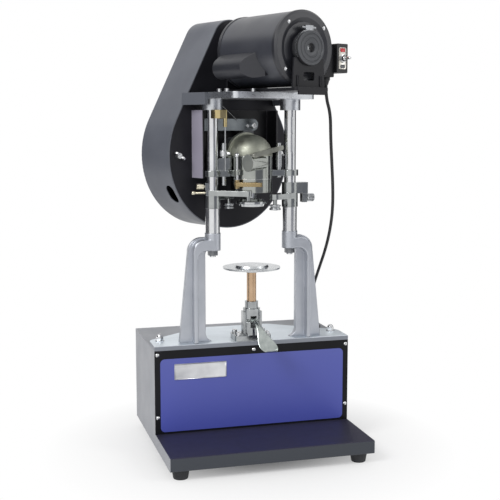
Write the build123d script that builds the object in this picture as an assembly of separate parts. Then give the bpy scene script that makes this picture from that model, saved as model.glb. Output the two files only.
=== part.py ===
from build123d import *
from math import asin, atan2, cos, radians, sin, sqrt, tan
import os

# Electric bench can seamer. Millimetres, +Z up. The origin is on the floor, under the middle of
# the whole machine, motor and guard included; the operator stands on the -Y side.

# Cabinet
CABINET_WIDTH = 400.0
CABINET_DEPTH = 375.0
CABINET_SETBACK = 7.0
SHELF_DEPTH = 148.5
SHELF_THICKNESS = 25.5
PANEL_HEIGHT = 167.0
SHEET = 2.0
FOOT_HEIGHT = 20.0
FOOT_TOP_RADIUS = 17.0
FOOT_BOTTOM_RADIUS = 14.0
FOOT_INSET = 24.0
PANEL_FRAME = 14.0
LABEL_THICKNESS = 0.6
LABEL_SIDE_MARGIN = 11.0
LABEL_TOP_MARGIN = 17.0
LABEL_BOTTOM_MARGIN = 4.0
LABEL_CORNER = 9.0
PAN_HEAD_RADIUS = 3.6
PAN_HEAD_HEIGHT = 2.4
INLET_SIZE = (48.0, 27.0, 6.0)

# Bed, legs and columns
BED_THICKNESS = 9.0
BED_END_DEPTH = 62.0
BED_BACK_WIDTH = 150.0
BED_DEPTH = 158.0
BED_BOLT_SHARE = 0.63
BED_BOLT_SETBACK = 51.0
BED_NUT = (13.0, 8.0)
BED_WASHER = (9.0, 1.5)
BED_CORNER = 22.0
SPINDLE_SETBACK = 17.0
COLUMN_SPACING = 158.0
LEG_RISE = 182.5
LEG_FOOT_SHARE = 0.554
LEG_TOP_SHARE = 0.405
LEG_RIB_SHARE = 0.343
LEG_INNER_REACH = 14.5
LEG_CURL_END = 21.0
LEG_CURL_DROP = 9.0
LEG_FLANGE = 12.0
LEG_FLANGE_SETBACK = 2.0
LEG_RIB_WIDTH = 9.0
LEG_FLARE = 24.0
SOCKET_HEIGHT = 34.0
SOCKET_RADIUS = 15.5
STUD_RADIUS = 6.0
NUT_ACROSS_FLATS = 18.0
NUT_HEIGHT = 10.0
COLUMN_LENGTH = 271.0
COLUMN_LOWER_RADIUS = 14.2
COLUMN_UPPER_RADIUS = 11.5
SHOULDER_DROP = 3.0
COLUMN_SLOT = (4.0, 3.0, 68.0)
COLUMN_SLOT_DROP = 34.0

# Top plate, and everything that is turned with the drive
HEAD_TURN = 22.0
PLATE_THICKNESS = 12.0
PLATE_WIDTH = 198.0
PLATE_FRONT = 77.0
PLATE_BULGE = 8.0
PLATE_BACK = 55.0
BOSS_RADIUS = 20.0
BOSS_DROP = 21.0
ARM_THICKNESS = 8.0
ARM_HEIGHT = 23.0
ARM_FRONT = 6.0
ARM_FLARE = 10.0

# Belt drive, measured back from the spindle along the turned drive line
SHAFT_DROP = 109.0
GUARD_FRONT = 69.0
GUARD_DEPTH = 102.0
GUARD_RADIUS = 147.5
GUARD_TOP_RADIUS = 41.0
GUARD_TOP_RISE = 27.5
GUARD_WALL = 2.0
GUARD_SLOT = (40.0, 26.0)
GUARD_SLOT_ANGLE = 211.0
GUARD_SLOT_SETBACK = 22.0
WING_BOLT_INSET = 21.5
WING_BOLT_RADIUS = 5.5
CHANNEL_WIDTH = 188.0
CHANNEL_HEIGHT = 131.0
CHANNEL_DROP = 43.0
CHANNEL_DEPTH = 35.0
CHANNEL_WALL = 4.0
PULLEY_SETBACK = 118.0
PULLEY_WIDTH = 20.0
PULLEY_CLEARANCE = 23.5
DRIVER_RADIUS = 31.0
GROOVE_DEPTH = 9.0
GROOVE_WIDTH = 12.0
GROOVE_SLOPE = 0.325
BELT_SUNK = 6.0
BELT_PROUD = 1.5
SHAFT_RADIUS = 10.0
MOTOR_SHAFT_RADIUS = 8.0
BEARING_RADIUS = 27.0
RUNNING_GAP = 0.5
FIT = 0.05
SEAT_GAP = 0.3

# Motor on its resilient cradle
MOTOR_RADIUS = 68.0
MOTOR_GAP = 2.5
MOTOR_REAR = 21.0
MOTOR_FRONT = -158.0
BELL_LENGTH = 11.0
HUB_RADIUS = 16.0
HUB_LENGTH = 16.0
ROTOR_RADIUS = 40.0
RING_RADIUS = 31.0
RING_WIDTH = 13.0
CRADLE_BASE = 6.0
CRADLE_WIDTH = 80.0
CRADLE_SHEET = 4.0
CRADLE_CUP = 18.0
CRADLE_LIP = 7.0
CAPACITOR_RADIUS = 20.0
CAPACITOR_LENGTH = 118.0
CAPACITOR_ANGLE = 205.0
CAPACITOR_BEVEL = 34.0
TERMINAL_BOX = (24.0, 40.0, 57.0)
SWITCH_BOX = (27.0, 42.0, 54.0)
TOGGLE_RADIUS = 2.2
TOGGLE_LENGTH = 17.0
BUSHING_RADIUS = 5.5

# Seaming head
HOOD_RADIUS = 41.0
HOOD_WALL = 4.0
HOOD_FLANGE_RADIUS = 45.0
HOOD_FLANGE = 8.0
HOOD_BACK = 16.0
HEAD_RADIUS = 41.0
HEAD_DROP = 71.0
GEAR_PITCH = 30.0
PINION_PITCH = 15.0
GEAR_FACE = 10.0
GEAR_GAP = 0.4
GEAR_BACK = 6.0
GEAR_HUB = 14.0
GEAR_HUB_RADIUS = 17.0
CROSS_BOSS_RADIUS = 16.7
CROSS_BOSS_FRONT = 40.0
CROSS_BOSS_LEFT = 39.9
CROSS_BOSS_DROP = 12.6
LINK_SIZE = (9.0, 4.0)
LINK_PIN_RADIUS = 3.0
CLAMP_DROP = 40.0
CLAMP_HEIGHT = 12.0
CLAMP_WIDTH = 19.0
CLAMP_WALL = 5.0
POST_RADIUS = 5.0
POST_REACH = 56.0
POST_RISE = 65.0
POST_COLLAR = (6.5, 25.0)
LUG_HEIGHT = 24.0
LUG_LENGTH = 32.0
STEADY_HEIGHT = 23.5
STEADY_THICKNESS = 10.0
STEADY_REACH = 36.0
STEADY_RISE = 48.0
STEADY_SETBACK = 40.0
SADDLE_WIDTH = 26.0
COLLAR_HEIGHT = 16.0
DRIP_PLACE = (6.0, -12.5)
DRIP_TAIL_RADIUS = 4.0
DRIP_RADIUS = 1.4

# Spindle, chuck and seaming levers
CHUCK_DROP = 99.0
CHUCK_NOSE_RADIUS = 25.5
CHUCK_NOSE = 4.5
CHUCK_FLANGE_RADIUS = 31.0
CHUCK_FLANGE = 12.0
SPINDLE_RADIUS = 10.0
ROLL_REACH = (39.0, 31.0)
ROLL_RADIUS = 11.0
ROLL_HEIGHT = 10.0
ROLL_PIN_RADIUS = 4.0
LEVER_HUB_RADIUS = 16.0
LEVER_HUB_HEIGHT = 27.5
LEVER_PLATE = 10.5
HUB_EXTRA = (8.2, 21.0)
TAIL_REACH = (16.0, 34.0)
TAIL_HEIGHT = (10.5, 22.0)
TAIL_WIDTH = 24.0
KNOB_RADIUS = (6.0, 8.0)
KNOB_LENGTH = 14.0
KNOB_CLEAR = 1.0
FINGER_END = (58.0, -50.0)
FINGER_RADIUS = 7.5
FINGER_PIN = (4.0, 9.0)
BALL_SCREW = (2.6, 4.0, 22.0)
LEVER_WIDTH = 24.0
TRIP_REACH = (38.0, 33.0)
TRIP_RADIUS = 2.6
TRIP_BALL = 4.8
TRIP_ARM_LENGTH = 46.0
TRIP_HEADING = -30.0
TRIP_ARM_RISE = 13.0
TRIP_ARM_HEIGHT = 8.0

# Lifter
LIFT_RISE = 151.0
LIFT_PLATE_RADIUS = 57.0
LIFT_PLATE = 3.0
LIFT_SEAT_RADIUS = 32.0
LIFT_SEAT = 4.0
LIFT_HUB_RADIUS = 13.0
LIFT_HUB = 8.0
PLUNGER_RADIUS = 9.5
SPIGOT_RADIUS = 6.0
PEG_RADIUS = 4.0
PEG_LENGTH = 8.0
PEDESTAL_RADIUS = 17.0
PEDESTAL_HEIGHT = 64.0
PEDESTAL_FLANGE = (74.0, 47.0, 11.0)
PEDESTAL_COLLAR_RADIUS = 13.2
PEDESTAL_COLLAR = 14.0
PLUNGER_RISE = 48.5
ROCKER_LENGTH = 14.0
ROCKER_SWING = 25.0
ROCKER_NOSE = 5.0
ROCKER_WIDTH = 11.0
ROCKER_SIDE_GAP = 0.5
PIVOT_FORWARD = 13.0
PIVOT_BOSS_RADIUS = 6.5
PIVOT_PIN_RADIUS = 3.0
SPOON_REACH = 57.0
SPOON_DROP = 52.0
SPOON_SIDE = 20.0
SPOON_WIDTH = 18.0
SPOON_NECK = 5.0

# Cord from the terminal box to the cabinet
CORD_RADIUS = 3.0
GLAND_LENGTH = 14.0
CORD_STRAIGHT = 23.0
CORD_TOP_GLAND = (76.0, -131.0)
CORD_FOOT = (178.0, 97.0)

# Levels and places that follow from the sizes above
BASE_BOTTOM = FOOT_HEIGHT
SHELF_TOP = BASE_BOTTOM + SHELF_THICKNESS
CABINET_TOP = SHELF_TOP + PANEL_HEIGHT
CABINET_BACK = CABINET_SETBACK + CABINET_DEPTH / 2
SHELF_FRONT = CABINET_SETBACK - CABINET_DEPTH / 2
PANEL_FACE = SHELF_FRONT + SHELF_DEPTH
BED_TOP = CABINET_TOP + BED_THICKNESS
SPINDLE_Y = PANEL_FACE + SPINDLE_SETBACK
HALF_SPACING = COLUMN_SPACING / 2
BED_BEYOND = CABINET_WIDTH / 2 - HALF_SPACING
LEG_FOOT_REACH = LEG_FOOT_SHARE * BED_BEYOND
LEG_TOP_REACH = LEG_TOP_SHARE * BED_BEYOND
LEG_RIB_REACH = LEG_RIB_SHARE * BED_BEYOND
SOCKET_BASE = BED_TOP + LEG_RISE
SOCKET_TOP = SOCKET_BASE + SOCKET_HEIGHT
PLATE_TOP = SOCKET_TOP + COLUMN_LENGTH
PLATE_BOTTOM = PLATE_TOP - PLATE_THICKNESS
SHAFT_Z = PLATE_BOTTOM - SHAFT_DROP
DRIVEN_RADIUS = GUARD_RADIUS - PULLEY_CLEARANCE
WING_BOLT_OFFSET = GUARD_RADIUS - WING_BOLT_INSET
MOTOR_Z = PLATE_TOP + CRADLE_BASE + MOTOR_GAP + MOTOR_RADIUS
GUARD_TOP_Z = MOTOR_Z + GUARD_TOP_RISE
GUARD_BACK = GUARD_FRONT + GUARD_DEPTH
HEAD_BOTTOM = SHAFT_Z - HEAD_DROP
CLAMP_BOTTOM = SHAFT_Z - CLAMP_DROP
POST_TOP = CLAMP_BOTTOM + POST_RISE
CHUCK_FACE = SHAFT_Z - CHUCK_DROP
SHOULDER_Z = CHUCK_FACE - SHOULDER_DROP
CHUCK_TOP = CHUCK_FACE + CHUCK_NOSE + CHUCK_FLANGE
LIFT_FACE = BED_TOP + LIFT_RISE
LEVER_Z = SHOULDER_Z + SEAT_GAP
FLANGE_BACK = HOOD_BACK + HOOD_FLANGE
CHANNEL_FACE = GUARD_FRONT - CHANNEL_WALL
CAVITY_RADIUS = HOOD_RADIUS - HOOD_WALL
PLUNGER_BOTTOM = BED_TOP + PLUNGER_RISE
LIFT_TRAVEL = 2 * ROCKER_LENGTH * sin(radians(ROCKER_SWING / 2))
PIVOT_Z = PLUNGER_BOTTOM - SEAT_GAP - ROCKER_NOSE - LIFT_TRAVEL / 2
PLUNGER_TOP = LIFT_FACE - LIFT_SEAT - LIFT_PLATE - LIFT_HUB

SQUARE = Location((0, SPINDLE_Y, 0))
TURNED = Location((0, SPINDLE_Y, 0), (0, 0, HEAD_TURN))
LOW = (Align.CENTER, Align.CENTER, Align.MIN)

# The left column, seen from the turned frame; the right one is opposite
COLUMN_TURNED = (-HALF_SPACING * cos(radians(HEAD_TURN)), HALF_SPACING * sin(radians(HEAD_TURN)))


def upright(radius, bottom, top, x=0.0, y=0.0):
    """A round bar that stands on the level bottom."""
    return Pos(x, y, bottom) * Cylinder(radius, top - bottom, align=LOW)


def lengthways(radius, front, back, x=0.0, z=0.0):
    """A round bar along Y, from front to back."""
    return Pos(x, front, z) * Rot(-90, 0, 0) * Cylinder(radius, back - front, align=LOW)


def crossways(radius, left, right, y=0.0, z=0.0):
    """A round bar along X, from left to right."""
    return Pos(left, y, z) * Rot(0, 90, 0) * Cylinder(radius, right - left, align=LOW)


def block(xs, ys, zs):
    """A box between pairs of limits."""
    middle = ((xs[0] + xs[1]) / 2, (ys[0] + ys[1]) / 2, (zs[0] + zs[1]) / 2)
    return Pos(*middle) * Box(xs[1] - xs[0], ys[1] - ys[0], zs[1] - zs[0])


def plan(sketch, bottom, top):
    """A sketch on the ground plane, raised between two levels."""
    return extrude(Plane.XY.offset(bottom) * sketch, amount=top - bottom)


def elevation(sketch, front, back):
    """A sketch in X and Z, drawn as seen from the front, given its depth along Y."""
    return extrude(Plane.XZ.offset(-front) * sketch, amount=front - back)


def outline(*points):
    """A face with straight sides."""
    return make_face(Polyline(*points, close=True))


def turned_profile(*points):
    """A solid of revolution about Z from points of radius and height."""
    return revolve(Plane.XZ * outline(*points), Axis.Z)


def along_drive(shape, z):
    """Lay a solid that was turned about Z along the drive line at height z, +Z to the back."""
    return Pos(0, 0, z) * Rot(-90, 0, 0) * shape


def hexagon(across_flats, bottom, top, x=0.0, y=0.0):
    """A hexagon bar that stands on the level bottom."""
    side = RegularPolygon(across_flats / 2, 6, major_radius=False, rotation=30)
    return plan(Pos(x, y) * side, bottom, top)


def teardrop(radius, top_radius):
    """Face round the driven pulley's and the motor pulley's centres, in X and Z."""
    large = Pos(0, SHAFT_Z) * Circle(radius)
    small = Pos(0, GUARD_TOP_Z) * Circle(top_radius)
    return make_hull(large.edges() + small.edges())


# Cabinet

def cabinet_shell():
    """Folded steel cabinet with an L-shaped side, open behind the front panel."""
    def side(inset):
        front = SHELF_FRONT + inset
        back = CABINET_BACK - inset
        low = BASE_BOTTOM + inset
        step = PANEL_FACE + SHEET + inset
        return outline((front, low), (back, low), (back, CABINET_TOP - inset),
                       (step, CABINET_TOP - inset), (step, SHELF_TOP - inset), (front, SHELF_TOP - inset))
    half = CABINET_WIDTH / 2
    shell = extrude(Plane.YZ.offset(-half) * side(0), amount=CABINET_WIDTH)
    shell = fillet(shell.edges().filter_by(Axis.X).group_by(Axis.Y)[0], SHEET)
    hollow = extrude(Plane.YZ.offset(SHEET - half) * side(SHEET), amount=CABINET_WIDTH - 2 * SHEET)
    window = block((PANEL_FRAME - half, half - PANEL_FRAME), (PANEL_FACE, PANEL_FACE + 3 * SHEET),
                   (SHELF_TOP + PANEL_FRAME, CABINET_TOP - PANEL_FRAME))
    return shell - hollow - window - inlet_hole()


def front_panel():
    """Black steel plate over the cabinet's open front."""
    half = CABINET_WIDTH / 2
    return block((-half, half), (PANEL_FACE, PANEL_FACE + SHEET), (SHELF_TOP, CABINET_TOP))


def label_face():
    """Outline of the printed label, seen from the front."""
    width = CABINET_WIDTH - 2 * LABEL_SIDE_MARGIN
    height = PANEL_HEIGHT - LABEL_TOP_MARGIN - LABEL_BOTTOM_MARGIN
    middle = SHELF_TOP + LABEL_BOTTOM_MARGIN + height / 2
    return Pos(0, middle) * RectangleRounded(width, height, LABEL_CORNER)


def front_label():
    """Plain label stuck on the panel."""
    return elevation(label_face(), PANEL_FACE - LABEL_THICKNESS, PANEL_FACE)


def pan_head():
    """Domed screw head that stands on the ground plane, pointing up."""
    ball = PAN_HEAD_RADIUS * 1.35
    dome = Pos(0, 0, PAN_HEAD_HEIGHT - ball) * Sphere(ball)
    return upright(PAN_HEAD_RADIUS, 0, PAN_HEAD_HEIGHT) & dome


def panel_screws():
    """Six pan heads on the panel's black border, and the label's two sides."""
    side = CABINET_WIDTH / 2 - LABEL_SIDE_MARGIN / 2
    top = CABINET_TOP - LABEL_TOP_MARGIN / 2
    low = SHELF_TOP + PANEL_HEIGHT * 0.2
    places = [(-side, top), (0, top), (side, top), (-side, low), (side, low)]
    return [Pos(x, PANEL_FACE, z) * Rot(90, 0, 0) * pan_head() for x, z in places]


def feet():
    """Four tapered rubber feet under the corners."""
    foot = turned_profile((0, 0), (FOOT_BOTTOM_RADIUS - 1, 0), (FOOT_BOTTOM_RADIUS, 1),
                          (FOOT_TOP_RADIUS, FOOT_HEIGHT), (0, FOOT_HEIGHT))
    across = CABINET_WIDTH - 2 * FOOT_INSET
    along = CABINET_DEPTH - 2 * FOOT_INSET
    return [Pos(0, CABINET_SETBACK, 0) * place * foot for place in GridLocations(across, along, 2, 2)]


def inlet_face(width, height, corner):
    """Rounded rectangle at the mains inlet's place on the cabinet's back."""
    return Pos(0, SHELF_TOP + INLET_SIZE[1]) * RectangleRounded(width, height, corner)


def inlet_hole():
    """Cut-out for the mains inlet's body."""
    width, height, lip = INLET_SIZE
    return elevation(inlet_face(width - 2 * lip, height - lip, 3), CABINET_BACK - 2 * SHEET, CABINET_BACK)


def mains_inlet():
    """Panel inlet for the mains lead, low on the cabinet's back: a flange and a socket through the sheet."""
    width, height, lip = INLET_SIZE
    flange = elevation(inlet_face(width, height, 4), CABINET_BACK, CABINET_BACK + SHEET)
    body = elevation(inlet_face(width - 2 * lip, height - lip, 3), CABINET_BACK - 4 * lip, CABINET_BACK)
    socket = inlet_face(width - 3.4 * lip, height - 1.8 * lip, 2)
    return flange + body - elevation(socket, CABINET_BACK - 3 * lip, CABINET_BACK + SHEET)


# Bed, legs and columns

def bed():
    """Cast plate on the cabinet: a straight front, square ends and a back that narrows."""
    half = CABINET_WIDTH / 2
    front = PANEL_FACE
    shape = outline((-half, front), (half, front), (half, front + BED_END_DEPTH),
                    (BED_BACK_WIDTH / 2, front + BED_DEPTH), (-BED_BACK_WIDTH / 2, front + BED_DEPTH),
                    (-half, front + BED_END_DEPTH))
    back = shape.vertices().sort_by(Axis.Y)[2:]
    shape = fillet(back, BED_CORNER)
    plate = plan(shape, CABINET_TOP, BED_TOP)
    return fillet(plate.faces().sort_by(Axis.Z)[-1].edges(), 1.5)


def bed_bolts():
    """Studs with domed nuts between the legs' feet and the bed's ends."""
    foot = HALF_SPACING + LEG_FOOT_REACH
    x = foot + BED_BOLT_SHARE * (CABINET_WIDTH / 2 - foot)
    y = PANEL_FACE + BED_BOLT_SETBACK
    across, tall = BED_NUT
    radius, thick = BED_WASHER
    level = BED_TOP + tall
    dome = Pos(0, 0, level) * (Sphere(0.46 * across) & upright(0.46 * across, 0, 0.46 * across))
    bolt = hexagon(across, BED_TOP, level) + dome + upright(radius, BED_TOP, BED_TOP + thick)
    return [Pos(side * x, y, 0) * bolt for side in (-1, 1)]


def leg(side):
    """Cast leg of T section: a flange that tapers up from a flared foot and curls in to the column's socket,
    and a rib down its front that curls with it."""
    x = -HALF_SPACING
    top = SOCKET_TOP - LEG_CURL_DROP
    inner = x - LEG_INNER_REACH
    nut = x - NUT_ACROSS_FLATS / 2 - 2
    end = x - LEG_CURL_END
    foot = BED_TOP + LEG_FLARE

    def curl(reach, level):
        """Quarter turn from a side at this reach to the curl's end at this level."""
        radius = reach - LEG_CURL_END
        bow = radius * (1 - sqrt(0.5))
        return ThreePointArc((x - reach, level - radius), (x - reach + bow, level - bow), (end, level))

    def crook(reach, radius):
        """Quarter turn from under the socket down a side at this reach."""
        bow = radius * (1 - sqrt(0.5))
        return ThreePointArc((x - reach + radius, SOCKET_BASE), (x - reach + bow, SOCKET_BASE - bow),
                             (x - reach, SOCKET_BASE - radius))

    flare = LEG_FLARE * 0.52
    flange = make_face([
        Line((x - LEG_FOOT_REACH, BED_TOP), (x - LEG_TOP_REACH, top - LEG_TOP_REACH + LEG_CURL_END)),
        curl(LEG_TOP_REACH, top),
        Line((end, top), (x, top)),
        Line((x, top), (x, SOCKET_BASE)),
        Line((x, SOCKET_BASE), (nut, SOCKET_BASE)),
        ThreePointArc((nut, SOCKET_BASE), ((nut + 2.4 * inner) / 3.4, SOCKET_BASE - 4),
                      (inner, SOCKET_BASE - 14)),
        Line((inner, SOCKET_BASE - 14), (inner, foot)),
        ThreePointArc((inner, foot), (inner + 0.29 * flare, BED_TOP + 0.29 * LEG_FLARE),
                      (inner + flare, BED_TOP)),
        Line((inner + flare, BED_TOP), (x - LEG_FOOT_REACH, BED_TOP)),
    ])
    rib_inner = LEG_RIB_REACH - LEG_RIB_WIDTH
    rib_top = top - 0.4 * LEG_CURL_DROP
    bend = (rib_inner - NUT_ACROSS_FLATS / 2 - 2) * 0.8
    rib = make_face([
        Line((x - LEG_RIB_REACH, BED_TOP), (x - LEG_RIB_REACH, rib_top - LEG_RIB_REACH + LEG_CURL_END)),
        curl(LEG_RIB_REACH, rib_top),
        Line((end, rib_top), (x, rib_top)),
        Line((x, rib_top), (x, SOCKET_BASE)),
        Line((x, SOCKET_BASE), (x - rib_inner + bend, SOCKET_BASE)),
        crook(rib_inner, bend),
        Line((x - rib_inner, SOCKET_BASE - bend), (x - rib_inner, BED_TOP)),
        Line((x - rib_inner, BED_TOP), (x - LEG_RIB_REACH, BED_TOP)),
    ])
    ridge = elevation(rib, -SOCKET_RADIUS, LEG_FLANGE_SETBACK + 1)
    ridge = fillet(ridge.faces().sort_by(Axis.Y)[0].edges(), 0.3 * LEG_RIB_WIDTH)
    plate = elevation(flange, LEG_FLANGE_SETBACK, LEG_FLANGE_SETBACK + LEG_FLANGE)
    body = plate + ridge + upright(SOCKET_RADIUS, SOCKET_BASE, SOCKET_TOP, x)
    body -= upright(STUD_RADIUS + FIT, SOCKET_BASE, SOCKET_TOP, x)
    return body if side < 0 else mirror(body, Plane.YZ)


def column(side):
    """Stepped steel column: stud, thick lower part up to the lever's shoulder, and upper part."""
    foot = SOCKET_BASE - NUT_HEIGHT - 3
    bar = turned_profile((0, foot), (STUD_RADIUS, foot), (STUD_RADIUS, SOCKET_TOP),
                         (COLUMN_LOWER_RADIUS, SOCKET_TOP), (COLUMN_LOWER_RADIUS, SHOULDER_Z),
                         (COLUMN_UPPER_RADIUS, SHOULDER_Z),
                         (COLUMN_UPPER_RADIUS, PLATE_TOP), (0, PLATE_TOP))
    return Pos(side * HALF_SPACING, 0, 0) * bar


def column_nuts():
    """Hexagon nuts that hold the columns' studs under the sockets."""
    nut = hexagon(NUT_ACROSS_FLATS, SOCKET_BASE - NUT_HEIGHT, SOCKET_BASE)
    nut -= upright(STUD_RADIUS + FIT, SOCKET_BASE - NUT_HEIGHT, SOCKET_BASE)
    return [Pos(side * HALF_SPACING, 0, 0) * nut for side in (-1, 1)]


# Top plate and what hangs on it, in the turned frame

def top_plate():
    """Cast plate on the columns' tops, with a bowed front edge and a boss round each column."""
    half = PLATE_WIDTH / 2
    shape = make_face([
        Line((half, -PLATE_FRONT), (half, PLATE_BACK)),
        Line((half, PLATE_BACK), (-half, PLATE_BACK)),
        Line((-half, PLATE_BACK), (-half, -PLATE_FRONT)),
        ThreePointArc((-half, -PLATE_FRONT), (0, -PLATE_FRONT - PLATE_BULGE), (half, -PLATE_FRONT)),
    ])
    shape = fillet(shape.vertices().sort_by(Axis.Y)[:2], 14)
    plate = plan(shape, PLATE_BOTTOM, PLATE_TOP)
    x, y = COLUMN_TURNED
    for sign in (1, -1):
        plate += upright(BOSS_RADIUS, PLATE_BOTTOM - BOSS_DROP, PLATE_BOTTOM, sign * x, sign * y)
    for sign in (1, -1):
        plate -= upright(COLUMN_UPPER_RADIUS + FIT, PLATE_BOTTOM - BOSS_DROP, PLATE_TOP, sign * x, sign * y)
    return plate


def cap_screw(x, y, level):
    """Socket head screw standing on a level."""
    head = upright(5, level, level + 6, x, y)
    return head - hexagon(5, level + 3, level + 6, x, y)


def top_plate_screws():
    """Cap screws along the plate's edge, which draw it on to the columns and the cradle."""
    half = PLATE_WIDTH / 2 - 9
    edge = CRADLE_WIDTH / 2 + 10
    places = [(-half, -18), (-half, -42), (-edge, -PLATE_FRONT + 7), (edge, -PLATE_FRONT + 7)]
    return [cap_screw(x, y, PLATE_TOP) for x, y in places]


def guard_arms():
    """Two flat bars from the plate's sides back to the guard, splayed a little."""
    half = PLATE_WIDTH / 2
    shape = outline((half, ARM_FRONT), (half + ARM_THICKNESS, ARM_FRONT),
                    (half + ARM_THICKNESS + ARM_FLARE, GUARD_FRONT), (half + ARM_FLARE, GUARD_FRONT),
                    (half, PLATE_BACK))
    bar = plan(shape, PLATE_TOP - ARM_HEIGHT, PLATE_TOP)
    return [bar, mirror(bar, Plane.YZ)]


def guard_channel():
    """Bent steel channel between the shaft's bearing and the guard, its sides facing forward."""
    half = CHANNEL_WIDTH / 2
    bottom = SHAFT_Z - CHANNEL_DROP
    top = bottom + CHANNEL_HEIGHT
    outer = block((-half, half), (GUARD_FRONT - CHANNEL_DEPTH, GUARD_FRONT), (bottom, top))
    inner = block((CHANNEL_WALL - half, half - CHANNEL_WALL), (GUARD_FRONT - CHANNEL_DEPTH, CHANNEL_FACE),
                  (bottom, top))
    return outer - inner - lengthways(SHAFT_RADIUS + 3, CHANNEL_FACE, GUARD_FRONT, 0, SHAFT_Z)


def belt_guard():
    """Deep-drawn cover round both pulleys, open to the front, with an oblong hole in its rim."""
    pan = elevation(teardrop(GUARD_RADIUS, GUARD_TOP_RADIUS), GUARD_FRONT, GUARD_BACK)
    pan = fillet(pan.faces().sort_by(Axis.Y)[-1].edges(), 3)
    hollow = teardrop(GUARD_RADIUS - GUARD_WALL, GUARD_TOP_RADIUS - GUARD_WALL)
    pan -= elevation(hollow, GUARD_FRONT, GUARD_BACK - GUARD_WALL)
    angle = radians(GUARD_SLOT_ANGLE)
    outward = Vector(cos(angle), 0, sin(angle))
    centre = Vector(0, GUARD_FRONT + GUARD_SLOT_SETBACK, SHAFT_Z) + outward * GUARD_RADIUS
    face = Plane(origin=centre, x_dir=Vector(-sin(angle), 0, cos(angle)), z_dir=outward)
    return pan - extrude(face * SlotOverall(*GUARD_SLOT), amount=4 * GUARD_WALL, both=True)


def guard_front_plate():
    """Flat plate that closes the guard's front, with holes for the two shafts, and its two wing bolts."""
    inset = GUARD_WALL + 0.2
    back = GUARD_FRONT + GUARD_WALL
    plate = elevation(teardrop(GUARD_RADIUS - inset, GUARD_TOP_RADIUS - inset), GUARD_FRONT, back)
    plate -= lengthways(SHAFT_RADIUS + 3, GUARD_FRONT, back, 0, SHAFT_Z)
    plate -= lengthways(MOTOR_SHAFT_RADIUS + 6, GUARD_FRONT, back, 0, MOTOR_Z)
    return [plate, wing_bolt(-WING_BOLT_OFFSET), wing_bolt(WING_BOLT_OFFSET)]


def wing_bolt(x):
    """Wing bolt drawn up on the guard's front plate."""
    tall = 1.3 * WING_BOLT_RADIUS
    bolt = lengthways(WING_BOLT_RADIUS, GUARD_FRONT - tall, GUARD_FRONT, x, SHAFT_Z)
    reach = 3 * WING_BOLT_RADIUS
    thin = 0.36 * WING_BOLT_RADIUS
    for sign in (1, -1):
        place = Pos(x + sign * 1.45 * WING_BOLT_RADIUS, GUARD_FRONT - tall, SHAFT_Z)
        wing = place * Sphere(0.92 * WING_BOLT_RADIUS)
        bolt += wing & block((x - reach, x + reach), (GUARD_FRONT - 2 * tall, GUARD_FRONT - 0.5),
                             (SHAFT_Z - thin, SHAFT_Z + thin))
    return Pos(x, 0, SHAFT_Z) * Rot(0, 35, 0) * Pos(-x, 0, -SHAFT_Z) * bolt


# Belt drive

def pulley(radius, bore, hub_radius, holes):
    """V-belt pulley turned about Z and centred on its groove, with round lightening holes in the web."""
    half = PULLEY_WIDTH / 2
    throat = GROOVE_WIDTH / 2
    floor = throat - GROOVE_DEPTH * GROOVE_SLOPE
    rim = radius - GROOVE_DEPTH - 8
    web = 4.0
    points = [(bore, -half), (hub_radius, -half), (hub_radius, -web), (rim, -web), (rim, -half), (radius, -half),
              (radius, -throat), (radius - GROOVE_DEPTH, -floor), (radius - GROOVE_DEPTH, floor), (radius, throat),
              (radius, half), (rim, half), (rim, web), (hub_radius, web), (hub_radius, half), (bore, half)]
    wheel = turned_profile(*points)
    reach = (hub_radius + rim) / 2
    for place in PolarLocations(reach, holes):
        wheel -= place * Cylinder((rim - hub_radius) * 0.36, PULLEY_WIDTH)
    return wheel


def driven_pulley():
    """Large cast pulley on the drive shaft."""
    wheel = pulley(DRIVEN_RADIUS, SHAFT_RADIUS, 2.4 * SHAFT_RADIUS, 5)
    return Pos(0, PULLEY_SETBACK, 0) * along_drive(wheel, SHAFT_Z)


def motor_pulley():
    """Small solid pulley on the motor's shaft."""
    half = PULLEY_WIDTH / 2
    throat = GROOVE_WIDTH / 2
    floor = throat - GROOVE_DEPTH * GROOVE_SLOPE
    bottom = DRIVER_RADIUS - GROOVE_DEPTH
    wheel = turned_profile((MOTOR_SHAFT_RADIUS, -half), (DRIVER_RADIUS, -half), (DRIVER_RADIUS, -throat),
                           (bottom, -floor), (bottom, floor), (DRIVER_RADIUS, throat), (DRIVER_RADIUS, half),
                           (MOTOR_SHAFT_RADIUS, half))
    return Pos(0, PULLEY_SETBACK, 0) * along_drive(wheel, MOTOR_Z)


def belt_loop(offset):
    """Face inside a belt that lies this far over the pulleys' rims, in X and Z."""
    large = Pos(0, SHAFT_Z) * Circle(DRIVEN_RADIUS + offset)
    small = Pos(0, MOTOR_Z) * Circle(DRIVER_RADIUS + offset)
    return make_hull(large.edges() + small.edges())


def drive_belt():
    """V-belt round both pulleys, clear of their grooves' sides by the running gap."""
    half = GROOVE_WIDTH / 2 - RUNNING_GAP
    top = half + GROOVE_SLOPE * (BELT_PROUD - 2 * RUNNING_GAP)
    low = half - GROOVE_SLOPE * (BELT_SUNK + 2 * RUNNING_GAP)
    outer = belt_loop(BELT_PROUD)
    inner = belt_loop(-BELT_SUNK)
    belt = elevation(outer, PULLEY_SETBACK - top, PULLEY_SETBACK + top)
    belt -= elevation(inner, PULLEY_SETBACK - low, PULLEY_SETBACK + low)
    for sign in (-1, 1):
        near = Plane.XZ.offset(-PULLEY_SETBACK - sign * low) * inner
        far = Plane.XZ.offset(-PULLEY_SETBACK - sign * top) * outer
        belt -= loft([near, far], ruled=True)
    return belt


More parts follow.
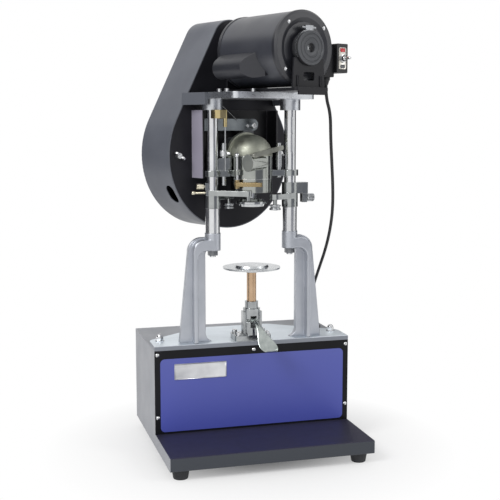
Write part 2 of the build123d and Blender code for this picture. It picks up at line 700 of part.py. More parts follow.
def drive_shaft():
    """Shaft from the driven pulley through its bearing to the bevel gear."""
    front = PINION_PITCH + 1
    back = PULLEY_SETBACK + PULLEY_WIDTH / 2 + 6
    shaft = lengthways(SHAFT_RADIUS, front, back, 0, SHAFT_Z)
    return chamfer(shaft.edges().filter_by(GeomType.CIRCLE), 1)


def shaft_bearing():
    """Flanged bearing housing between the gear hood and the channel, with a saddle under the steady arm."""
    body = lengthways(BEARING_RADIUS, FLANGE_BACK, CHANNEL_FACE, 0, SHAFT_Z)
    body += lengthways(BEARING_RADIUS + 8, CHANNEL_FACE - 6, CHANNEL_FACE, 0, SHAFT_Z)
    body += block((STEADY_REACH - SADDLE_WIDTH, STEADY_REACH),
                  (STEADY_SETBACK, STEADY_SETBACK + STEADY_THICKNESS), (SHAFT_Z, SHAFT_Z + STEADY_RISE))
    recess = PINION_PITCH + GEAR_GAP + GEAR_HUB + 2
    body -= lengthways(GEAR_HUB_RADIUS + 1.5, FLANGE_BACK, recess, 0, SHAFT_Z)
    return body - lengthways(SHAFT_RADIUS + FIT, FLANGE_BACK, CHANNEL_FACE, 0, SHAFT_Z)


def bevel_blank(pitch, mate, bore, hub):
    """Bevel gear about Z with its cone's tip at the ground plane's centre and its hub away from it."""
    small = pitch * (1 - GEAR_FACE / GEAR_PITCH)
    ratio = mate / pitch
    rim = mate + GEAR_GAP
    return turned_profile((bore, small * ratio + GEAR_GAP), (small, small * ratio + GEAR_GAP), (pitch, rim),
                          (pitch - GEAR_BACK / 2, rim + GEAR_BACK * 2 / 3), (hub, rim + GEAR_BACK),
                          (hub, rim + GEAR_HUB), (bore, rim + GEAR_HUB))


def bevel_gear():
    """Bevel gear on the drive shaft's front end."""
    return along_drive(bevel_blank(GEAR_PITCH, PINION_PITCH, SHAFT_RADIUS, GEAR_HUB_RADIUS), SHAFT_Z)


# Motor

def motor_shell():
    """Rolled steel frame with its stator, bored for the rotor."""
    tube = lengthways(MOTOR_RADIUS, MOTOR_FRONT + BELL_LENGTH, MOTOR_REAR - BELL_LENGTH, 0, MOTOR_Z)
    return tube - lengthways(ROTOR_RADIUS + 0.6, MOTOR_FRONT + BELL_LENGTH, MOTOR_REAR - BELL_LENGTH, 0, MOTOR_Z)


def end_bell():
    """Cast end bell turned about Z: a rounded rim, a dished face and a hub for the resilient ring."""
    rim = MOTOR_RADIUS + 1
    end = BELL_LENGTH + HUB_LENGTH
    neck = end - RING_WIDTH - 1
    bell = turned_profile((MOTOR_SHAFT_RADIUS + FIT, 0), (rim, 0), (rim, BELL_LENGTH - 4), (rim - 4, BELL_LENGTH),
                          (rim - 14, BELL_LENGTH), (rim - 22, BELL_LENGTH - 3), (HUB_RADIUS + 12, BELL_LENGTH - 3),
                          (HUB_RADIUS + 4, neck), (HUB_RADIUS, neck), (HUB_RADIUS, end),
                          (MOTOR_SHAFT_RADIUS + FIT, end))
    return bell


def motor_front_bell():
    """End bell that faces the operator."""
    return Pos(0, MOTOR_FRONT + BELL_LENGTH, MOTOR_Z) * Rot(90, 0, 0) * end_bell()


def motor_rear_bell():
    """End bell on the guard's side."""
    return Pos(0, MOTOR_REAR - BELL_LENGTH, MOTOR_Z) * Rot(-90, 0, 0) * end_bell()


def motor_screws():
    """Four through-bolt heads on the front bell."""
    reach = MOTOR_RADIUS - 9
    heads = []
    for angle in (40, 130, 220, 310):
        x = reach * cos(radians(angle))
        z = MOTOR_Z + reach * sin(radians(angle))
        heads.append(Pos(x, MOTOR_FRONT, z) * Rot(90, 0, 0) * pan_head())
    return heads


def motor_shaft():
    """Motor shaft, from just inside the front hub to past its pulley."""
    front = MOTOR_FRONT - HUB_LENGTH + 8
    back = PULLEY_SETBACK + PULLEY_WIDTH / 2 + 4
    return lengthways(MOTOR_SHAFT_RADIUS, front, back, 0, MOTOR_Z)


def motor_rotor():
    """Laminated rotor pressed on the shaft, between the bells."""
    clear = BELL_LENGTH + 12
    body = lengthways(ROTOR_RADIUS, MOTOR_FRONT + clear, MOTOR_REAR - clear, 0, MOTOR_Z)
    return body - lengthways(MOTOR_SHAFT_RADIUS, MOTOR_FRONT + clear, MOTOR_REAR - clear, 0, MOTOR_Z)


def ring_spans():
    """Front and back limits of the two resilient rings on the bells' hubs."""
    front = MOTOR_FRONT - HUB_LENGTH
    back = MOTOR_REAR + HUB_LENGTH
    return [(front, front + RING_WIDTH), (back - RING_WIDTH, back)]


def cradle_rings():
    """Rubber rings in steel bands, which carry the motor in its cradle."""
    rings = []
    for front, back in ring_spans():
        ring = lengthways(RING_RADIUS, front, back, 0, MOTOR_Z)
        rings.append(ring - lengthways(HUB_RADIUS, front, back, 0, MOTOR_Z))
    return rings


def motor_cradle():
    """Pressed steel base with a front lip, and a pierced upright cupped under each ring."""
    half = CRADLE_WIDTH / 2
    spans = ring_spans()
    front = spans[0][0] - 6
    back = spans[1][1] + 4
    floor = PLATE_TOP + CRADLE_BASE
    base = plan(Pos(0, (front + back) / 2) * RectangleRounded(CRADLE_WIDTH, back - front, 6), PLATE_TOP, floor)
    base += block((8 - half, half - 8), (front, front + CRADLE_SHEET), (PLATE_TOP - CRADLE_LIP, floor))
    cup = MOTOR_Z - CRADLE_CUP
    for start, end in spans:
        middle = (start + end) / 2
        side = outline((-half + 2, floor), (half - 2, floor), (RING_RADIUS + 4, cup), (-RING_RADIUS - 4, cup))
        plate = elevation(side, middle - CRADLE_SHEET / 2, middle + CRADLE_SHEET / 2)
        plate -= lengthways(RING_RADIUS, start, end, 0, MOTOR_Z)
        window = Pos(0, floor + 20) * RectangleRounded(26, 15, 3)
        base += plate - elevation(window, start, end)
    return base


def ring_clamps():
    """Steel straps over the rings, each drawn tight by a screw on top."""
    clamps = []
    for start, end in ring_spans():
        middle = (start + end) / 2
        strap = lengthways(RING_RADIUS + 1.6, middle - 3, middle + 3, 0, MOTOR_Z)
        strap -= lengthways(RING_RADIUS, middle - 3, middle + 3, 0, MOTOR_Z)
        strap &= block((-60, 60), (middle - 9, middle + 9), (MOTOR_Z - CRADLE_CUP + 0.5, MOTOR_Z + 60))
        lug = block((-9, 9), (middle - 3, middle + 3), (MOTOR_Z + RING_RADIUS + 1, MOTOR_Z + RING_RADIUS + 9))
        strap += lug + crossways(2.5, -16, 16, middle, MOTOR_Z + RING_RADIUS + 5)
        clamps.append(strap)
    return clamps


def capacitor_cover():
    """Round-backed cover for the start capacitor, saddled on the motor's side, its front corner cut off."""
    angle = radians(CAPACITOR_ANGLE)
    reach = MOTOR_RADIUS + 8
    x = reach * cos(angle)
    z = MOTOR_Z + reach * sin(angle)
    back = MOTOR_REAR - BELL_LENGTH - 4
    front = back - CAPACITOR_LENGTH
    shape = make_hull((Pos(x, z) * Circle(CAPACITOR_RADIUS)).edges()
                      + (Pos(0.72 * x, MOTOR_Z + 0.72 * (z - MOTOR_Z)) * Circle(CAPACITOR_RADIUS + 4)).edges())
    side = x - CAPACITOR_RADIUS - 1
    corner = outline((0, front), (side + CAPACITOR_BEVEL, front), (side, front + CAPACITOR_BEVEL),
                     (side, back), (0, back))
    cover = elevation(shape, front, back) & plan(corner, MOTOR_Z - 2 * MOTOR_RADIUS, MOTOR_Z + MOTOR_RADIUS)
    return cover - lengthways(MOTOR_RADIUS, front, back, 0, MOTOR_Z)


def terminal_limits():
    """X, Y and Z limits of the terminal box on the motor's right side."""
    deep, along, tall = TERMINAL_BOX
    left = MOTOR_RADIUS - 8
    front = MOTOR_FRONT + BELL_LENGTH + 3
    bottom = MOTOR_Z - 49
    return (left, left + deep), (front, front + along), (bottom, bottom + tall)


def terminal_box():
    """Box over the motor's leads, seated on its frame."""
    box = block(*terminal_limits())
    box = fillet(box.edges().filter_by(Axis.Y), 2)
    return box - lengthways(MOTOR_RADIUS, MOTOR_FRONT, MOTOR_REAR, 0, MOTOR_Z)


def switch_limits():
    """X, Y and Z limits of the switch box beside the terminal box."""
    deep, along, tall = SWITCH_BOX
    xs, ys, zs = terminal_limits()
    return (xs[1], xs[1] + deep), (ys[0] - 8, ys[0] - 8 + along), (zs[0] + 8, zs[0] + 8 + tall)


def toggle_place():
    """Where the toggle's lever leaves its bushing: X, Y and Z."""
    xs, ys, zs = switch_limits()
    return (xs[0] + xs[1]) / 2, ys[0] - 5, (zs[0] + zs[1]) / 2


def switch_box():
    """Switch housing with the toggle's threaded bushing and nut on its face."""
    xs, ys, zs = switch_limits()
    box = block(xs, ys, zs)
    box = fillet(box.edges().filter_by(Axis.Y), 2)
    x, y, z = toggle_place()
    nut = Pos(x, ys[0], z) * Rot(90, 0, 0) * hexagon(14, 0, 2.5)
    bushing = lengthways(BUSHING_RADIUS, y, ys[0], x, z)
    seat = Pos(x, y, z) * Sphere(TOGGLE_RADIUS + 1.6 + FIT)
    return box + nut + bushing - seat


def toggle():
    """Bat lever of the switch, on a ball in its bushing."""
    x, y, z = toggle_place()
    ball = Sphere(TOGGLE_RADIUS + 1.6)
    bat = Cone(TOGGLE_RADIUS * 0.8, TOGGLE_RADIUS * 1.25, TOGGLE_LENGTH - 2, align=LOW)
    tip = Pos(0, 0, TOGGLE_LENGTH - 2) * Sphere(TOGGLE_RADIUS * 1.25)
    return Pos(x, y, z) * Rot(90, 0, 0) * (ball + bat + tip)


# Seaming head, in the turned frame

def bullet(radius, back):
    """Round-nosed bar about the drive line, its nose over the spindle."""
    nose = Sphere(radius) & lengthways(2 * radius, -radius, 0)
    return Pos(0, 0, SHAFT_Z) * nose + lengthways(radius, 0, back, 0, SHAFT_Z)


def gear_case():
    """Outside of the gear case, both halves."""
    return bullet(HOOD_RADIUS, HOOD_BACK) + lengthways(HOOD_FLANGE_RADIUS, HOOD_BACK, FLANGE_BACK, 0, SHAFT_Z)


def gear_space():
    """Room inside the gear case for the two bevel gears, with the gear hub's hole in its back."""
    space = bullet(CAVITY_RADIUS, HOOD_BACK)
    space += upright(PINION_PITCH + 8, SHAFT_Z - GEAR_PITCH - 10, SHAFT_Z)
    rim = PINION_PITCH + GEAR_GAP + GEAR_BACK
    space += lengthways(GEAR_PITCH + 1.5, HOOD_BACK, rim, 0, SHAFT_Z)
    return space + lengthways(GEAR_HUB_RADIUS + 1.5, HOOD_BACK, FLANGE_BACK, 0, SHAFT_Z)


def gear_hood():
    """Domed upper half of the gear case, flanged at its back."""
    size = 4 * HOOD_RADIUS
    above = block((-size, size), (-size, size), (SHAFT_Z, SHAFT_Z + size))
    return (gear_case() & above) - gear_space()


def head_body():
    """Lower half of the gear case with the spindle's housing, the cross boss and the trip's lug."""
    size = 4 * HOOD_RADIUS
    below = block((-size, size), (-size, size), (HEAD_BOTTOM, SHAFT_Z))
    above = block((-size, size), (-size, size), (SHAFT_Z, SHAFT_Z + size))
    body = gear_case() & below
    body += upright(HEAD_RADIUS, HEAD_BOTTOM, SHAFT_Z)
    body += cross_boss() - (gear_case() & above)
    body -= lengthways(BEARING_RADIUS, FLANGE_BACK, CHANNEL_FACE, 0, SHAFT_Z)
    body = body - gear_space() - upright(SPINDLE_RADIUS + FIT, HEAD_BOTTOM, SHAFT_Z)
    return body + trip_lug()


def cross_boss():
    """Tapered boss across the head's front, its flat end to the left."""
    boss = Cone(CROSS_BOSS_RADIUS, 0.7 * CROSS_BOSS_RADIUS, CROSS_BOSS_LEFT, align=LOW)
    return Pos(-CROSS_BOSS_LEFT, -CROSS_BOSS_FRONT, SHAFT_Z - CROSS_BOSS_DROP) * Rot(0, 90, 0) * boss


def trip_turned():
    """The trip shaft's place, seen from the turned frame."""
    x, y = -TRIP_REACH[0], -TRIP_REACH[1]
    turn = radians(HEAD_TURN)
    return x * cos(turn) + y * sin(turn), y * cos(turn) - x * sin(turn)


def trip_lug():
    """Ear on the head's side, bored for the trip shaft."""
    x, y = trip_turned()
    low = CLAMP_BOTTOM + 4
    high = low + 10
    neck = make_hull((Pos(x, y) * Circle(6)).edges() + (Pos(0.72 * x, 0.72 * y) * Circle(7)).edges())
    ear = plan(neck, low, high) - upright(HEAD_RADIUS - 3, low, high)
    return ear - upright(TRIP_RADIUS + FIT, low, high, x, y)


def clamp_arms():
    """Two arms that clamp on the columns and hold the head between them, the left with a lug round its post."""
    top = CLAMP_BOTTOM + CLAMP_HEIGHT
    x = -HALF_SPACING
    half = CLAMP_WIDTH / 2
    ring = COLUMN_UPPER_RADIUS + CLAMP_WALL
    arm = upright(ring, CLAMP_BOTTOM, top, x)
    arm += block((x, 0), (-half, half), (CLAMP_BOTTOM, top))
    arm = fillet(arm.faces().sort_by(Axis.Z)[-1].edges(), 1.2)
    right = Rot(0, 0, 180) * (arm - clamp_holes(top))
    lug = block((x + 4, x + 4 + LUG_LENGTH), (-half + 0.5, half - 0.5), (top - 2, top + LUG_HEIGHT))
    lug = fillet(lug.edges().filter_by(Axis.Y).group_by(Axis.Z)[-1].sort_by(Axis.X)[0], LUG_HEIGHT / 2)
    drive = lengthways(HOOD_FLANGE_RADIUS + 1, HOOD_BACK - 1, FLANGE_BACK + 1, 0, SHAFT_Z)
    drive += lengthways(BEARING_RADIUS + 12, FLANGE_BACK, CHANNEL_FACE, 0, SHAFT_Z)
    lug -= Rot(0, 0, HEAD_TURN) * drive
    return [(arm + lug) - clamp_holes(top + LUG_HEIGHT), right]


def clamp_holes(top):
    """Room for the column, the head and the post in the left clamp arm, up to a level."""
    holes = upright(COLUMN_UPPER_RADIUS + FIT, CLAMP_BOTTOM, top, -HALF_SPACING)
    holes += upright(HEAD_RADIUS, CLAMP_BOTTOM, top)
    return holes + upright(POST_RADIUS, CLAMP_BOTTOM, top, -POST_REACH)


def head_posts():
    """Round posts through the clamp arms, the right one with a collar."""
    radius, tall = POST_COLLAR
    low = CLAMP_BOTTOM - 18
    left = upright(POST_RADIUS, low, POST_TOP, -POST_REACH)
    right = upright(POST_RADIUS, CLAMP_BOTTOM - 4, POST_TOP, POST_REACH)
    left, right = [chamfer(post.edges().filter_by(GeomType.CIRCLE), 1) for post in (left, right)]
    level = CLAMP_BOTTOM + CLAMP_HEIGHT + 5
    return [left, right + upright(radius, level, level + tall, POST_REACH)]


def link_bar():
    """Flat link from a pin on the cross boss, past the hood, to the right post."""
    tall, thick = LINK_SIZE
    turn = radians(HEAD_TURN)
    px, py = 4 - CROSS_BOSS_LEFT, -CROSS_BOSS_FRONT - CROSS_BOSS_RADIUS + 1
    start = Vector(px * cos(turn) - py * sin(turn), px * sin(turn) + py * cos(turn), SHAFT_Z + 2.6)
    post = Vector(POST_REACH, 0, POST_TOP - 10)
    aside = POST_RADIUS + thick / 2 + FIT
    away = Vector(post.X - start.X, post.Y - start.Y)
    heading = atan2(away.Y, away.X) - asin(aside / away.length)
    flat = sqrt(away.length**2 - aside**2)
    along = Vector(cos(heading) * flat, sin(heading) * flat, post.Z - start.Z)
    path = Plane(origin=start, x_dir=along, z_dir=along.cross(Vector(0, 0, 1)))
    bar = path * (Pos(along.length / 2, 0) * SlotOverall(along.length + tall, tall))
    link = extrude(bar, amount=thick / 2, both=True)
    pin = lengthways(LINK_PIN_RADIUS, py, py + 0.6 * CROSS_BOSS_RADIUS, px, SHAFT_Z + 2)
    return link + (Rot(0, 0, HEAD_TURN) * (pin - cross_boss()))


def steady_arm():
    """Flat arm on the bearing's saddle, its other end a half clamp behind the left column."""
    bottom = SHAFT_Z + STEADY_RISE
    top = bottom + STEADY_HEIGHT
    x, y = COLUMN_TURNED
    half = STEADY_HEIGHT / 2
    middle = (x + STEADY_REACH) / 2
    length = STEADY_REACH - x + 2 * half
    bar = Pos(middle, bottom + half) * SlotOverall(length, STEADY_HEIGHT)
    back = STEADY_SETBACK + STEADY_THICKNESS
    reach = STEADY_REACH + STEADY_HEIGHT
    arm = elevation(bar, STEADY_SETBACK, back) & block((x, reach), (STEADY_SETBACK, back), (bottom, top))
    ring = COLUMN_UPPER_RADIUS + CLAMP_WALL
    arm += upright(ring, bottom, top, x, y) & block((x - ring, x + ring), (y + 3, y + ring), (bottom, top))
    return arm - upright(COLUMN_UPPER_RADIUS + FIT, bottom, top, x, y)


def oil_collar():
    """Brass collar under the left boss, with a tail that carries a thin drip rod down to the clamp arm."""
    x, y = -HALF_SPACING, 0
    top = PLATE_BOTTOM - BOSS_DROP
    bottom = top - COLLAR_HEIGHT
    tail_x = x + DRIP_PLACE[0]
    tail_y = y + DRIP_PLACE[1]
    ear = make_hull((Pos(x, y) * Circle(COLUMN_UPPER_RADIUS + 3.5)).edges()
                    + (Pos(tail_x, tail_y) * Circle(DRIP_TAIL_RADIUS)).edges())
    collar = plan(ear, bottom, top)
    collar += upright(DRIP_TAIL_RADIUS, bottom - COLLAR_HEIGHT, bottom, tail_x, tail_y)
    collar += upright(DRIP_RADIUS, CLAMP_BOTTOM + CLAMP_HEIGHT, bottom, tail_x, tail_y)
    return collar - upright(COLUMN_UPPER_RADIUS + FIT, bottom - COLLAR_HEIGHT, top, x, y)


# Spindle, chuck, levers and trip

def spindle():
    """Spindle with the bevel pinion cut on its upper end."""
    pinion = Pos(0, 0, SHAFT_Z) * Rot(180, 0, 0) * bevel_blank(PINION_PITCH, GEAR_PITCH, 0, SPINDLE_RADIUS)
    return pinion + upright(SPINDLE_RADIUS, CHUCK_TOP, SHAFT_Z - GEAR_PITCH - 8)


def chuck():
    """Seaming chuck: a flange with a lip over a nose that fits the can's end."""
    nose = CHUCK_FACE + CHUCK_NOSE
    return turned_profile((0, CHUCK_FACE), (CHUCK_NOSE_RADIUS - 1.5, CHUCK_FACE), (CHUCK_NOSE_RADIUS, nose),
                          (CHUCK_FLANGE_RADIUS, nose + 1), (CHUCK_FLANGE_RADIUS, nose + 5),
                          (CHUCK_FLANGE_RADIUS - 5, nose + 6), (CHUCK_FLANGE_RADIUS - 8, CHUCK_TOP - 2),
                          (SPINDLE_RADIUS + 4, CHUCK_TOP), (0, CHUCK_TOP))


def roll_place():
    """First seaming roll, behind and left of the chuck; the second is opposite it."""
    return -ROLL_REACH[0], ROLL_REACH[1]


def lever(which):
    """Lever about the left column: hub on the shoulder, arm to the roll's pin, tail with the knob's lug."""
    x = -HALF_SPACING
    rx, ry = roll_place()
    level = LEVER_Z + LEVER_HUB_HEIGHT
    top = lever_top(which)
    end = x - TAIL_REACH[which]
    knob = KNOB_RADIUS[which] + KNOB_CLEAR
    lug = knob_level(which)
    half = TAIL_WIDTH / 2
    arm = make_hull((Pos(x, 0) * Circle(LEVER_HUB_RADIUS)).edges()
                    + (Pos(rx, ry) * Circle(LEVER_WIDTH / 2)).edges())
    body = plan(arm, level - LEVER_PLATE, level) + upright(LEVER_HUB_RADIUS, LEVER_Z, top, x)
    body += block((end, x + half), (-half, half), (top - TAIL_HEIGHT[which], top))
    body += block((end, end + 10), (-8, 8), (lug - knob, lug + knob))
    body += upright(ROLL_PIN_RADIUS, roll_bottom() - 1, level, rx, ry)
    return body - upright(COLUMN_UPPER_RADIUS + FIT, LEVER_Z, top + 2 * knob, x)


def lever_top(which):
    """Top of a lever's hub and tail."""
    return LEVER_Z + LEVER_HUB_HEIGHT + HUB_EXTRA[which]


def knob_level(which):
    """Height of a lever's knob: over the first lever's tail, under the second's."""
    clear = KNOB_RADIUS[which] + KNOB_CLEAR
    return lever_top(which) + clear if which == 0 else lever_top(which) - TAIL_HEIGHT[which] - clear


def first_lever():
    """First-operation lever on the left column, with a finger across the head's front."""
    x = -HALF_SPACING
    top = lever_top(0)
    radius, tall = FINGER_PIN
    fx, fy = x + FINGER_END[0], FINGER_END[1]
    finger = make_hull((Pos(x, 0) * Circle(LEVER_HUB_RADIUS)).edges()
                       + (Pos(fx, fy) * Circle(FINGER_RADIUS)).edges())
    body = plan(finger, top - TAIL_HEIGHT[0], top) - upright(COLUMN_UPPER_RADIUS + FIT, LEVER_Z, top, x)
    return lever(0) + body + upright(radius, top - TAIL_HEIGHT[0] - tall, top, fx, fy)


def second_lever():
    """Second-operation lever on the right column, half a turn round, with a taller hub."""
    return Rot(0, 0, 180) * lever(1)


def roll_bottom():
    """Underside of the rolls, which meet the can's end just under the chuck's flange."""
    return CHUCK_FACE + CHUCK_NOSE - ROLL_HEIGHT - 0.5


def roll():
    """Grooved seaming roll that spins on its lever's pin."""
    bottom = roll_bottom()
    top = bottom + ROLL_HEIGHT
    wheel = turned_profile((ROLL_PIN_RADIUS + FIT, bottom), (ROLL_RADIUS, bottom), (ROLL_RADIUS, bottom + 3),
                           (ROLL_RADIUS - 2, bottom + 5), (ROLL_RADIUS, bottom + 7.5), (ROLL_RADIUS, top),
                           (ROLL_PIN_RADIUS + FIT, top))
    return Pos(*roll_place(), 0) * wheel


def first_roll():
    """First-operation roll."""
    return roll()


def second_roll():
    """Second-operation roll."""
    return Rot(0, 0, 180) * roll()


def lever_knob(which):
    """Adjusting knob on a screw in the left lever's lug."""
    end = -HALF_SPACING - TAIL_REACH[which]
    z = knob_level(which)
    radius = KNOB_RADIUS[which]
    knob = crossways(radius, end - KNOB_LENGTH - 2, end - 2, 0, z) + crossways(radius / 2, end - 2, end, 0, z)
    return chamfer(knob.edges().filter_by(GeomType.CIRCLE).group_by(Axis.X)[0], 1)


def first_knob():
    """Adjusting knob of the first lever, and the ball-ended screw under it."""
    end = -HALF_SPACING - TAIL_REACH[0]
    radius, ball, long = BALL_SCREW
    z = lever_top(0) - TAIL_HEIGHT[0] / 2
    screw = crossways(radius, end - long, end, 0, z) + Pos(end - long, 0, z) * Sphere(ball)
    return [lever_knob(0), screw]


def second_knob():
    """Adjusting knob of the second lever."""
    return Rot(0, 0, 180) * lever_knob(1)


def trip_shaft():
    """Thin upright trip shaft with a ball on its top."""
    x, y = -TRIP_REACH[0], -TRIP_REACH[1]
    low = HEAD_BOTTOM + TRIP_ARM_RISE - TRIP_ARM_HEIGHT / 2
    top = SHAFT_Z + 2
    return upright(TRIP_RADIUS, low, top, x, y) + Pos(x, y, top) * Sphere(TRIP_BALL)


def trip_arm():
    """Bronze trip arm on the shaft's foot, lying across the head's front."""
    x, y = -TRIP_REACH[0], -TRIP_REACH[1]
    low = HEAD_BOTTOM + TRIP_ARM_RISE
    top = low + TRIP_ARM_HEIGHT
    heading = radians(TRIP_HEADING)
    ex = x + TRIP_ARM_LENGTH * cos(heading)
    ey = y + TRIP_ARM_LENGTH * sin(heading)
    shape = make_hull((Pos(x, y) * Circle(6)).edges() + (Pos(ex, ey) * Circle(4)).edges())
    foot = low - TRIP_ARM_HEIGHT / 2
    return plan(shape, low, top) + upright(5, foot, low, x, y) - upright(TRIP_RADIUS, foot, top, x, y)


# Lifter

def pedestal():
    """Cast post on the bed that guides the plunger, slotted at the front for the hand lever."""
    wide, deep, thick = PEDESTAL_FLANGE
    front = -SPINDLE_SETBACK
    top = BED_TOP + PEDESTAL_HEIGHT
    flange = plan(Pos(0, front + deep / 2) * RectangleRounded(wide, deep, 7), BED_TOP, BED_TOP + thick)
    body = flange + upright(PEDESTAL_RADIUS, BED_TOP, top)
    body += upright(PEDESTAL_COLLAR_RADIUS, top, top + PEDESTAL_COLLAR)
    cheek = PEDESTAL_RADIUS + 2
    body += block((-cheek, cheek), (-PEDESTAL_RADIUS / 2, PEDESTAL_RADIUS / 2), (BED_TOP, top - 6))
    body -= upright(PLUNGER_RADIUS + FIT, PLUNGER_BOTTOM - LIFT_TRAVEL - 1, top + PEDESTAL_COLLAR)
    half = ROCKER_WIDTH / 2 + ROCKER_SIDE_GAP
    slot_back = ROCKER_LENGTH - PIVOT_FORWARD + ROCKER_NOSE + 1.5
    body -= block((-half, half), (front - 1, slot_back), (PIVOT_Z - 14, PLUNGER_BOTTOM + 1))
    return body - crossways(PIVOT_PIN_RADIUS + FIT, -PEDESTAL_RADIUS, PEDESTAL_RADIUS, -PIVOT_FORWARD, PIVOT_Z)


def pedestal_bolts():
    """Cap screws in the pedestal's flange."""
    wide, deep, thick = PEDESTAL_FLANGE
    x = wide / 2 - 8
    front = -SPINDLE_SETBACK + 8
    places = [(side * x, y) for side in (-1, 1) for y in (front, front + deep - 16)]
    return [cap_screw(px, py, BED_TOP + thick) for px, py in places]


def plunger():
    """Bronze plunger with a peg on the lever's nose, and a spigot on top for the lifter plate."""
    spigot = PLUNGER_TOP + LIFT_HUB + LIFT_PLATE
    return turned_profile((0, PLUNGER_BOTTOM), (PEG_RADIUS, PLUNGER_BOTTOM), (PEG_RADIUS, PLUNGER_BOTTOM + PEG_LENGTH),
                          (PLUNGER_RADIUS, PLUNGER_BOTTOM + PEG_LENGTH), (PLUNGER_RADIUS, PLUNGER_TOP),
                          (SPIGOT_RADIUS, PLUNGER_TOP), (SPIGOT_RADIUS, spigot), (0, spigot))


def lifter_plate():
    """Round plate that carries the can, free to spin on the plunger's spigot."""
    low = PLUNGER_TOP + SEAT_GAP
    under = LIFT_FACE - LIFT_SEAT - LIFT_PLATE
    bore = SPIGOT_RADIUS + FIT
    return turned_profile((bore, low), (LIFT_HUB_RADIUS, low), (LIFT_HUB_RADIUS, under), (LIFT_PLATE_RADIUS, under),
                          (LIFT_PLATE_RADIUS, under + LIFT_PLATE), (LIFT_SEAT_RADIUS + 2, under + LIFT_PLATE),
                          (LIFT_SEAT_RADIUS, LIFT_FACE), (0, LIFT_FACE), (0, LIFT_FACE - LIFT_SEAT + FIT),
                          (bore, LIFT_FACE - LIFT_SEAT + FIT))


def hand_lever():
    """Lever on a pin in the pedestal: a rocker's nose under the plunger, and an arm out to a spoon."""
    half = ROCKER_WIDTH / 2
    tilt = radians(ROCKER_SWING / 2)
    nose = (ROCKER_LENGTH * cos(tilt) - PIVOT_FORWARD, PIVOT_Z + ROCKER_LENGTH * sin(tilt))
    pivot = Pos(-PIVOT_FORWARD, PIVOT_Z)
    web = make_hull((pivot * Circle(ROCKER_NOSE / 2)).edges()
                    + (Pos(*nose) * Circle(ROCKER_NOSE / 2)).edges())
    shape = web + pivot * Circle(PIVOT_BOSS_RADIUS) + Pos(*nose) * Circle(ROCKER_NOSE)
    rocker = extrude(Plane.YZ.offset(-half) * shape, amount=ROCKER_WIDTH)
    stations = [(0, 0, 0, 0.28, 0.8, -8), (0.32, -0.06, 0.08, 0.28, 0.8, -20),
                (0.54, -0.27, 0.28, 0.44, 0.64, -48), (0.72, -0.56, 0.56, 0.76, 0.48, -56),
                (0.88, -0.81, 0.82, 1.0, 0.4, -56), (1, -1, 1, 0.66, 0.36, -56)]
    sections = []
    for forward, rise, aside, wide, thick, heading in stations:
        slope = radians(heading)
        place = (SPOON_SIDE * aside, -PIVOT_FORWARD - SPOON_REACH * forward, PIVOT_Z + SPOON_DROP * rise)
        across = Plane(origin=place, x_dir=(1, 0, 0), z_dir=(0, -cos(slope), sin(slope)))
        sections.append(across * Ellipse(SPOON_WIDTH * wide, SPOON_NECK * thick))
    pin = sqrt(PEDESTAL_RADIUS**2 - PIVOT_FORWARD**2)
    return rocker + loft(sections) + crossways(PIVOT_PIN_RADIUS, -pin, pin, -PIVOT_FORWARD, PIVOT_Z)


# Cord

def cord_ends():
    """Top of the cord under the terminal box, and its foot on the cabinet, both in the part's frame."""
    x, y = CORD_TOP_GLAND
    turn = radians(HEAD_TURN)
    bottom = terminal_limits()[2][0]
    top = (x * cos(turn) - y * sin(turn), SPINDLE_Y + x * sin(turn) + y * cos(turn), bottom - GLAND_LENGTH)
    return top, (CORD_FOOT[0], CORD_FOOT[1], CABINET_TOP + GLAND_LENGTH)


def gland():
    """Tapered strain relief that stands on the ground plane."""
    return turned_profile((0, 0), (7.5, 0), (7.5, 5), (6, 6.5), (CORD_RADIUS + 1, GLAND_LENGTH), (0, GLAND_LENGTH))


def cord_glands():
    """Strain reliefs at both ends of the cord."""
    top, foot = cord_ends()
    return [Pos(top[0], top[1], top[2] + GLAND_LENGTH) * Rot(180, 0, 0) * gland(),
            Pos(foot[0], foot[1], CABINET_TOP) * gland()]


def cord():
    """Motor lead, hanging from the terminal box to the cabinet."""
    top, foot = cord_ends()
    drop = top[2] - foot[2]
    route = [(129.5, -107, 0.108), (131.5, -104, 0.202), (137, -97, 0.298), (143, -88, 0.394),
             (147.5, -76, 0.479), (150, -57, 0.561), (150, -31, 0.649), (147, 3, 0.745), (149, 40, 0.825),
             (158, 72, 0.883), (171, 92, 0.925)]
    points = [Vector(*top), Vector(top[0], top[1], top[2] - CORD_STRAIGHT)]
    points += [Vector(x, y, top[2] - share * drop) for x, y, share in route]
    points += [Vector(foot[0], foot[1], foot[2] + 0.8 * CORD_STRAIGHT), Vector(*foot)]
    radii = []
    for before, here, after in zip(points, points[1:], points[2:]):
        turn = (here - before).get_angle(after - here)
        run = min((here - before).length, (after - here).length)
        radii.append(0.45 * run / tan(radians(turn / 2)))
    path = FilletPolyline(*points, radius=radii)
    return sweep(Plane(origin=path @ 0, z_dir=path % 0) * Circle(CORD_RADIUS), path=path)


def cap_screws():
    """All socket head screws: the top plate's and the pedestal's."""
    return [TURNED * screw for screw in top_plate_screws()] + [SQUARE * screw for screw in pedestal_bolts()]


def pan_head_screws():
    """All pan head screws: the front panel's and the motor's."""
    return panel_screws() + [TURNED * screw for screw in motor_screws()]


def left_leg():
    """Leg casting under the left column."""
    return leg(-1)


def right_leg():
    """Leg casting under the right column."""
    return leg(1)


def left_column():
    """Column that the first lever turns on."""
    return column(-1)


def right_column():
    """Column that the second lever turns on, with a keyway down its front."""
    wide, deep, long = COLUMN_SLOT
    top = PLATE_BOTTOM - COLUMN_SLOT_DROP
    face = -COLUMN_UPPER_RADIUS
    half = wide / 2
    slot = block((HALF_SPACING - half, HALF_SPACING + half), (face, face + deep), (top - long, top))
    return column(1) - slot


